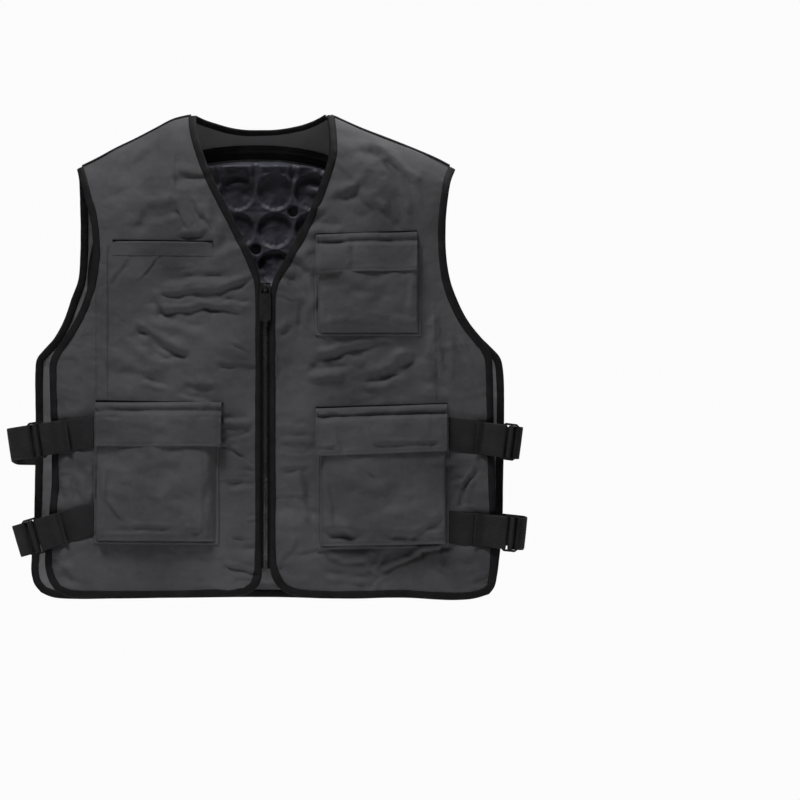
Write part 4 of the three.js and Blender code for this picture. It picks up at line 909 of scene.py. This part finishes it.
for name, s, base, z, droop, step, bar, reach, hang in STRAPS:
    low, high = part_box("strap_buckle_" + name)
    yb = (low[1] + high[1]) / 2 / MM
    r = BAR_RADIUS

    def across(q, h, share=0.0, sag=0.0):
        # upright at the pocket, square to the run from the step on; q runs out, h up
        turn = math.atan(droop) * unit((q - base) / (step - base))
        low = z - droop * (q - base) + h * np.cos(turn) - sag * unit(share * 3 - 1)
        return s * (q + h * np.sin(turn)), low

    def rest(q, side=-1, pick=min):
        """y of webbing that lies on the cloth."""
        at = [float(surf(*across(q, h), side)) for h in (-18, -9, 0, 9, 18)]
        return pick(at) + side * (THICK / 2 + 0.85)

    def on_back(q, gap):
        return q, rest(q, 1, max) + gap

    part = base + (bar - base) * 0.4
    bend = [(-18, r), (0, r), (1.9, r * 0.8), (r, 0), (1.9, -r * 0.8), (0, -r), (-9, -r - 0.2)]
    front = [(base, rest(base) - 0.3), (base + 8, rest(base + 8) - 0.3), (part, rest(part) - 0.4),
             (bar - 25, rest(bar - 25) - 0.8), *[(bar + q, yb + y) for q, y in bend],
             (bar - 18, min(yb + r - 2.2, rest(bar - 18) - 2.2)), (bar - 25, rest(bar - 25) - 3.0),
             (step + 5, rest(step + 5) - 4.0), (step, rest(step) - 6.2)]
    ribbon("strap_front_%s_band" % name, front, across, "strap_front_" + name, 91)
    edge = 293 if s < 0 else 298
    by = rest(edge - 12, 1, max)
    mid = (yb + r + by) / 2
    hook = [(6.3, r + 4.4), (6.3, 0.4), (6.8, -r * 0.85), (8.6, -r - 0.1), (10.4, -r * 0.85),
            (10.9, 0.2), (12.6, r), (18, r + 0.4)]
    loop = [*[(bar + q, yb + y) for q, y in hook],
            (bar + 18 + (reach - bar - 18) * 0.65, yb + r + (mid - yb - r) * 0.35),
            (reach - 3, yb + r + (mid - yb - r) * 0.75), (reach - 0.8, mid + (by - mid) * 0.3),
            (reach - 5, by - 1), (edge + 4, by + 4.0), (edge - 8, by + 3.2), on_back(edge - 16, 1.6),
            on_back(edge - 26, 0.5), on_back(edge - 40, 0.2), on_back(edge - 66, 0.2)]
    ribbon("strap_back_%s_band" % name, loop, lambda q, h, f: across(q, h, f, hang),
           "strap_back_" + name, 95)
    soften("strap_buckle_" + name, 0.9, BUCKLE)
    # rows of stitches that hold the doubled end
    h = np.linspace(-16.5, 16.5, 24)
    for qx in (step + 2.5, step + 8):
        x, zl = across(qx + 0 * h, h)
        y = rest(qx) - (5.9 if qx < step + 5 else 4.4) + 0 * h
        stitch_row(xyz(x, y, zl), np.tile([0, -1.0, 0], (24, 1)), "black")


# cooling packs
def pack(name, side, x0, z0, counts, pitch, air, arch):
    """Film pack: rows of round cells, counts to a row, dished between welds; arch is its top's radius."""
    most = max(counts)
    mid = x0 + most / 2 * pitch
    step, corner, foot = 1.95 if arch else 2.3, 18.0, 12.0
    half = most / 2 * pitch + PACK_RIM
    low = z0 - len(counts) * pitch - PACK_RIM
    high = z0 + (15.5 if arch else PACK_RIM)
    bend = arch or corner

    def room(x, z):
        """Rough distance inside the outline."""
        ax = np.abs(x - mid)
        reach = half if arch else corner
        px = np.maximum(0, ax - (half - reach)) / reach
        pz = np.maximum(0, z - (high - bend)) / bend
        g = 1 - (px**2.3 + pz**2.3) ** (1 / 2.3)
        slope = np.hypot(px / reach, pz / bend) + 1e-6
        top = g / np.maximum(slope, 1e-3) * np.hypot(px, pz)
        plain = np.minimum(half - ax, high - z)
        top = np.where((px > 0) & (pz > 0), np.minimum(plain, top), plain)
        qx, qz = np.maximum(0, ax - (half - foot)), np.maximum(0, (low + foot) - z)
        turned = np.where((qx > 0) & (qz > 0), foot - np.hypot(qx, qz), 1e3)
        return np.minimum(np.minimum(top, z - low), turned)

    has = lambda c, r: 0 <= r < len(counts) and abs(c + 0.5 - most / 2) < counts[r] / 2
    spots = [(c, r) for r in range(len(counts)) for c in range(most) if has(c, r)]
    cells = [(x0 + (c + 0.5) * pitch, z0 - (r + 0.5) * pitch) for c, r in spots]
    holes = [(x0 + (c + 1) * pitch, z0 - (r + 1) * pitch) for c, r in spots
             if has(c + 1, r) and has(c, r + 1) and has(c + 1, r + 1) and (c + r) % 2 == 0]

    def hole_gap(x, z):
        return np.min([np.hypot(x - hx, z - hz) for hx, hz in holes], axis=0) - HOLE

    inside = lambda x, z: np.minimum(room(x, z), hole_gap(x, z))
    X, Z = np.meshgrid(np.arange(mid - half - step, mid + half + 2 * step, step),
                       np.arange(low - step, high + 2 * step, step))
    bm = bmesh.new()
    lay_grid(bm, xyz(X, 0 * X, Z), xyz(X, Z))
    faces = bm.faces[:]
    at = np.array([f.calc_center_median() for f in faces]) / MM
    gone = inside(at[:, 0], at[:, 2]) <= 0
    bmesh.ops.delete(bm, geom=[f for f, g in zip(faces, gone) if g], context="FACES")
    # vertices on the rim move onto the outline and the holes' circles
    verts = bm.verts[:]
    x, _, z = (np.array([v.co for v in verts]) / MM).T
    on_rim = np.array([v.is_boundary for v in verts])
    for _ in range(4):
        px, pz, e = x[on_rim], z[on_rim], 0.3
        f = inside(px, pz)
        gx = (inside(px + e, pz) - inside(px - e, pz)) / (2 * e)
        gz = (inside(px, pz + e) - inside(px, pz - e)) / (2 * e)
        g2 = np.maximum(gx * gx + gz * gz, 0.2)
        x[on_rim] = px - np.clip(f * gx / g2, -1.2, 1.2)
        z[on_rim] = pz - np.clip(f * gz / g2, -1.2, 1.2)
    rad = 22.4 * pitch / BACK_PITCH
    sag, lip = np.zeros_like(x), np.zeros_like(x)
    wrinkle = layered(x / 9, z / 9, 101, 3)
    for ccx, ccz in cells:
        d = np.hypot(x - ccx, z - ccz)
        near = d < rad + 5
        w = unit((rad - d[near]) / 3.0)
        w = w * w * (3 - 2 * w)
        turn = np.arctan2(z[near] - ccz, x[near] - ccx)
        fan = unit((ccz - z[near]) / rad) * 0.9 * np.sin(turn * 17)
        sag[near] += w * (5.0 * (1 - 0.12 * (d[near] / rad) ** 2) + 0.9 * wrinkle[near] + 0.6 * fan * w)
        lip[near] += 0.7 * bell(d[near] - rad - 0.6, 1.1)
    rm, hg = room(x, z), hole_gap(x, z)
    thick = FILM_THICK - 5.2 * unit(1 - rm / 7.5) ** 2 + lip
    thick += 0.7 * bell(hg - 1.6, 1.2) - 0.9 * unit(1 - hg / 1.3)
    fx, fz = (x - x0) / pitch, (z - z0) / pitch
    line = np.minimum(np.abs(fx - np.round(fx)), np.abs(fz - np.round(fz))) * pitch
    thick += -0.6 * bell(line, 1.3) * (rm > 8)
    thick += 0.6 * layered(x / 17, z / 13, 107, 3) * unit(rm / 8)
    if arch:
        for ccx, ccz in cells[: counts[0]]:
            # welded header tab over each cell of the top row, with a sunk middle and crinkles
            dx, dz = x - ccx, z - ccz
            over = unit((np.hypot(dx, dz) - rad) / 2)
            tab = np.minimum(20.5 - np.abs(dx), np.minimum(dz - rad * 0.5, ccz + rad + 12.5 - z))
            sunk = np.minimum(14.5 - np.abs(dx), np.minimum(dz - rad, ccz + rad + 8 - z))
            thick += over * (3.0 * unit(tab / 1.6 + 0.3) - 1.7 * unit(sunk / 1.6 + 0.3))
            thick += over * unit(sunk / 3) * 1.1 * grain(dx / 5 + dz / 30, z / 30, 33)
    y = surf(x, z, side) - side * (THICK / 2 + air + thick - sag)
    for v, vx, vy, vz in zip(verts, x, y, z):
        v.co = V((vx, vy, vz)) * MM
    made = bmesh.ops.extrude_face_region(bm, geom=bm.faces[:], use_keep_orig=True)["geom"]
    below = [g for g in made if isinstance(g, bmesh.types.BMVert)]
    x, _, z = (np.array([v.co for v in below]) / MM).T
    for v, vy in zip(below, surf(x, z, side) - side * (THICK / 2 + air * 0.6)):
        v.co.y = vy * MM
    add_piece(name + "_film", bm, FILM, node=name, slot="pack_film")
    # outline, for the zip round it
    ang = np.pi * (1 - np.linspace(0, 1, 60))
    arc = xyz(mid + half * np.sign(np.cos(ang)) * np.abs(np.cos(ang)) ** 0.87,
                    high - bend + bend * np.sin(ang) ** 0.87)
    down = np.linspace(high - bend, low + foot, 50)[1:]
    left, right = [xyz(0 * down + mid + s * half, down) for s in (-1, 1)]
    return np.concatenate([left[::-1], arc, right])


outline = pack("back_pack", 1, PACK_MIDDLE - 4 * BACK_PITCH, -67.5, [4, 6] + [8] * 6,
               BACK_PITCH, 1.2, 160.0)
pack("front_pack_left", -1, -192, -209, [4] * 6, FRONT_PITCH, 2.0, 0)
pack("front_pack_right", -1, 31, -215, [4] * 6, FRONT_PITCH, 1.2, 0)

d = heading(outline)
out = xyz(-d[:, 1], d[:, 0])
broad = 9 + 7 * np.maximum(0, out[:, 1]) ** 3
profile = [(0, 0.5), (0.04, 1.3), (0.3, 1.5), (0.42, 1.7), (0.46, 2.6), (0.54, 2.6), (0.58, 1.7),
           (0.72, 1.5), (0.96, 1.3), (1, 0.5)]
zip_out, zip_in = [], []
for a, h in profile:
    p = outline + out * (3 + (broad + 1) * a)[:, None]
    y = surf(p[:, 0], p[:, 1], 1)
    zip_out.append(xyz(p[:, 0], y - THICK / 2 - h, p[:, 1]))
    zip_in.append(xyz(p[:, 0], y - THICK / 2 - 0.3, p[:, 1]))
# painted light: the pouch's zip tape takes the bindings' lighter black in place of the zip tapes' black, to
# stand in for light on this band in the shade inside the back
walled("back_pouch_zip_tape", np.stack(zip_out, 1), np.stack(zip_in, 1), BIND,
       node="back_pouch_zip", slot="zip_tape")

add_piece("topstitching", STITCHES["grey"], THREAD, slot="pocket_cloth")
add_piece("dark_stitching", STITCHES["black"], DARK, slot="edge_binding")

# floor
bm = bmesh.new()
bmesh.ops.create_circle(bm, cap_ends=True, segments=96, radius=FLOOR_RADIUS)
pale = Look("pale_floor", 0.9)
pale.colour("f4f4f4", "f8f8f8", pale.noise(3))
floor = bpy.data.objects.new("floor", bpy.data.meshes.new("floor"))
bm.to_mesh(floor.data)
bm.free()
floor.data.materials.append(pale.mat)
floor.location = (0, 0, FLOOR_AT)
scene.collection.objects.link(floor)

bpy.context.view_layer.update()
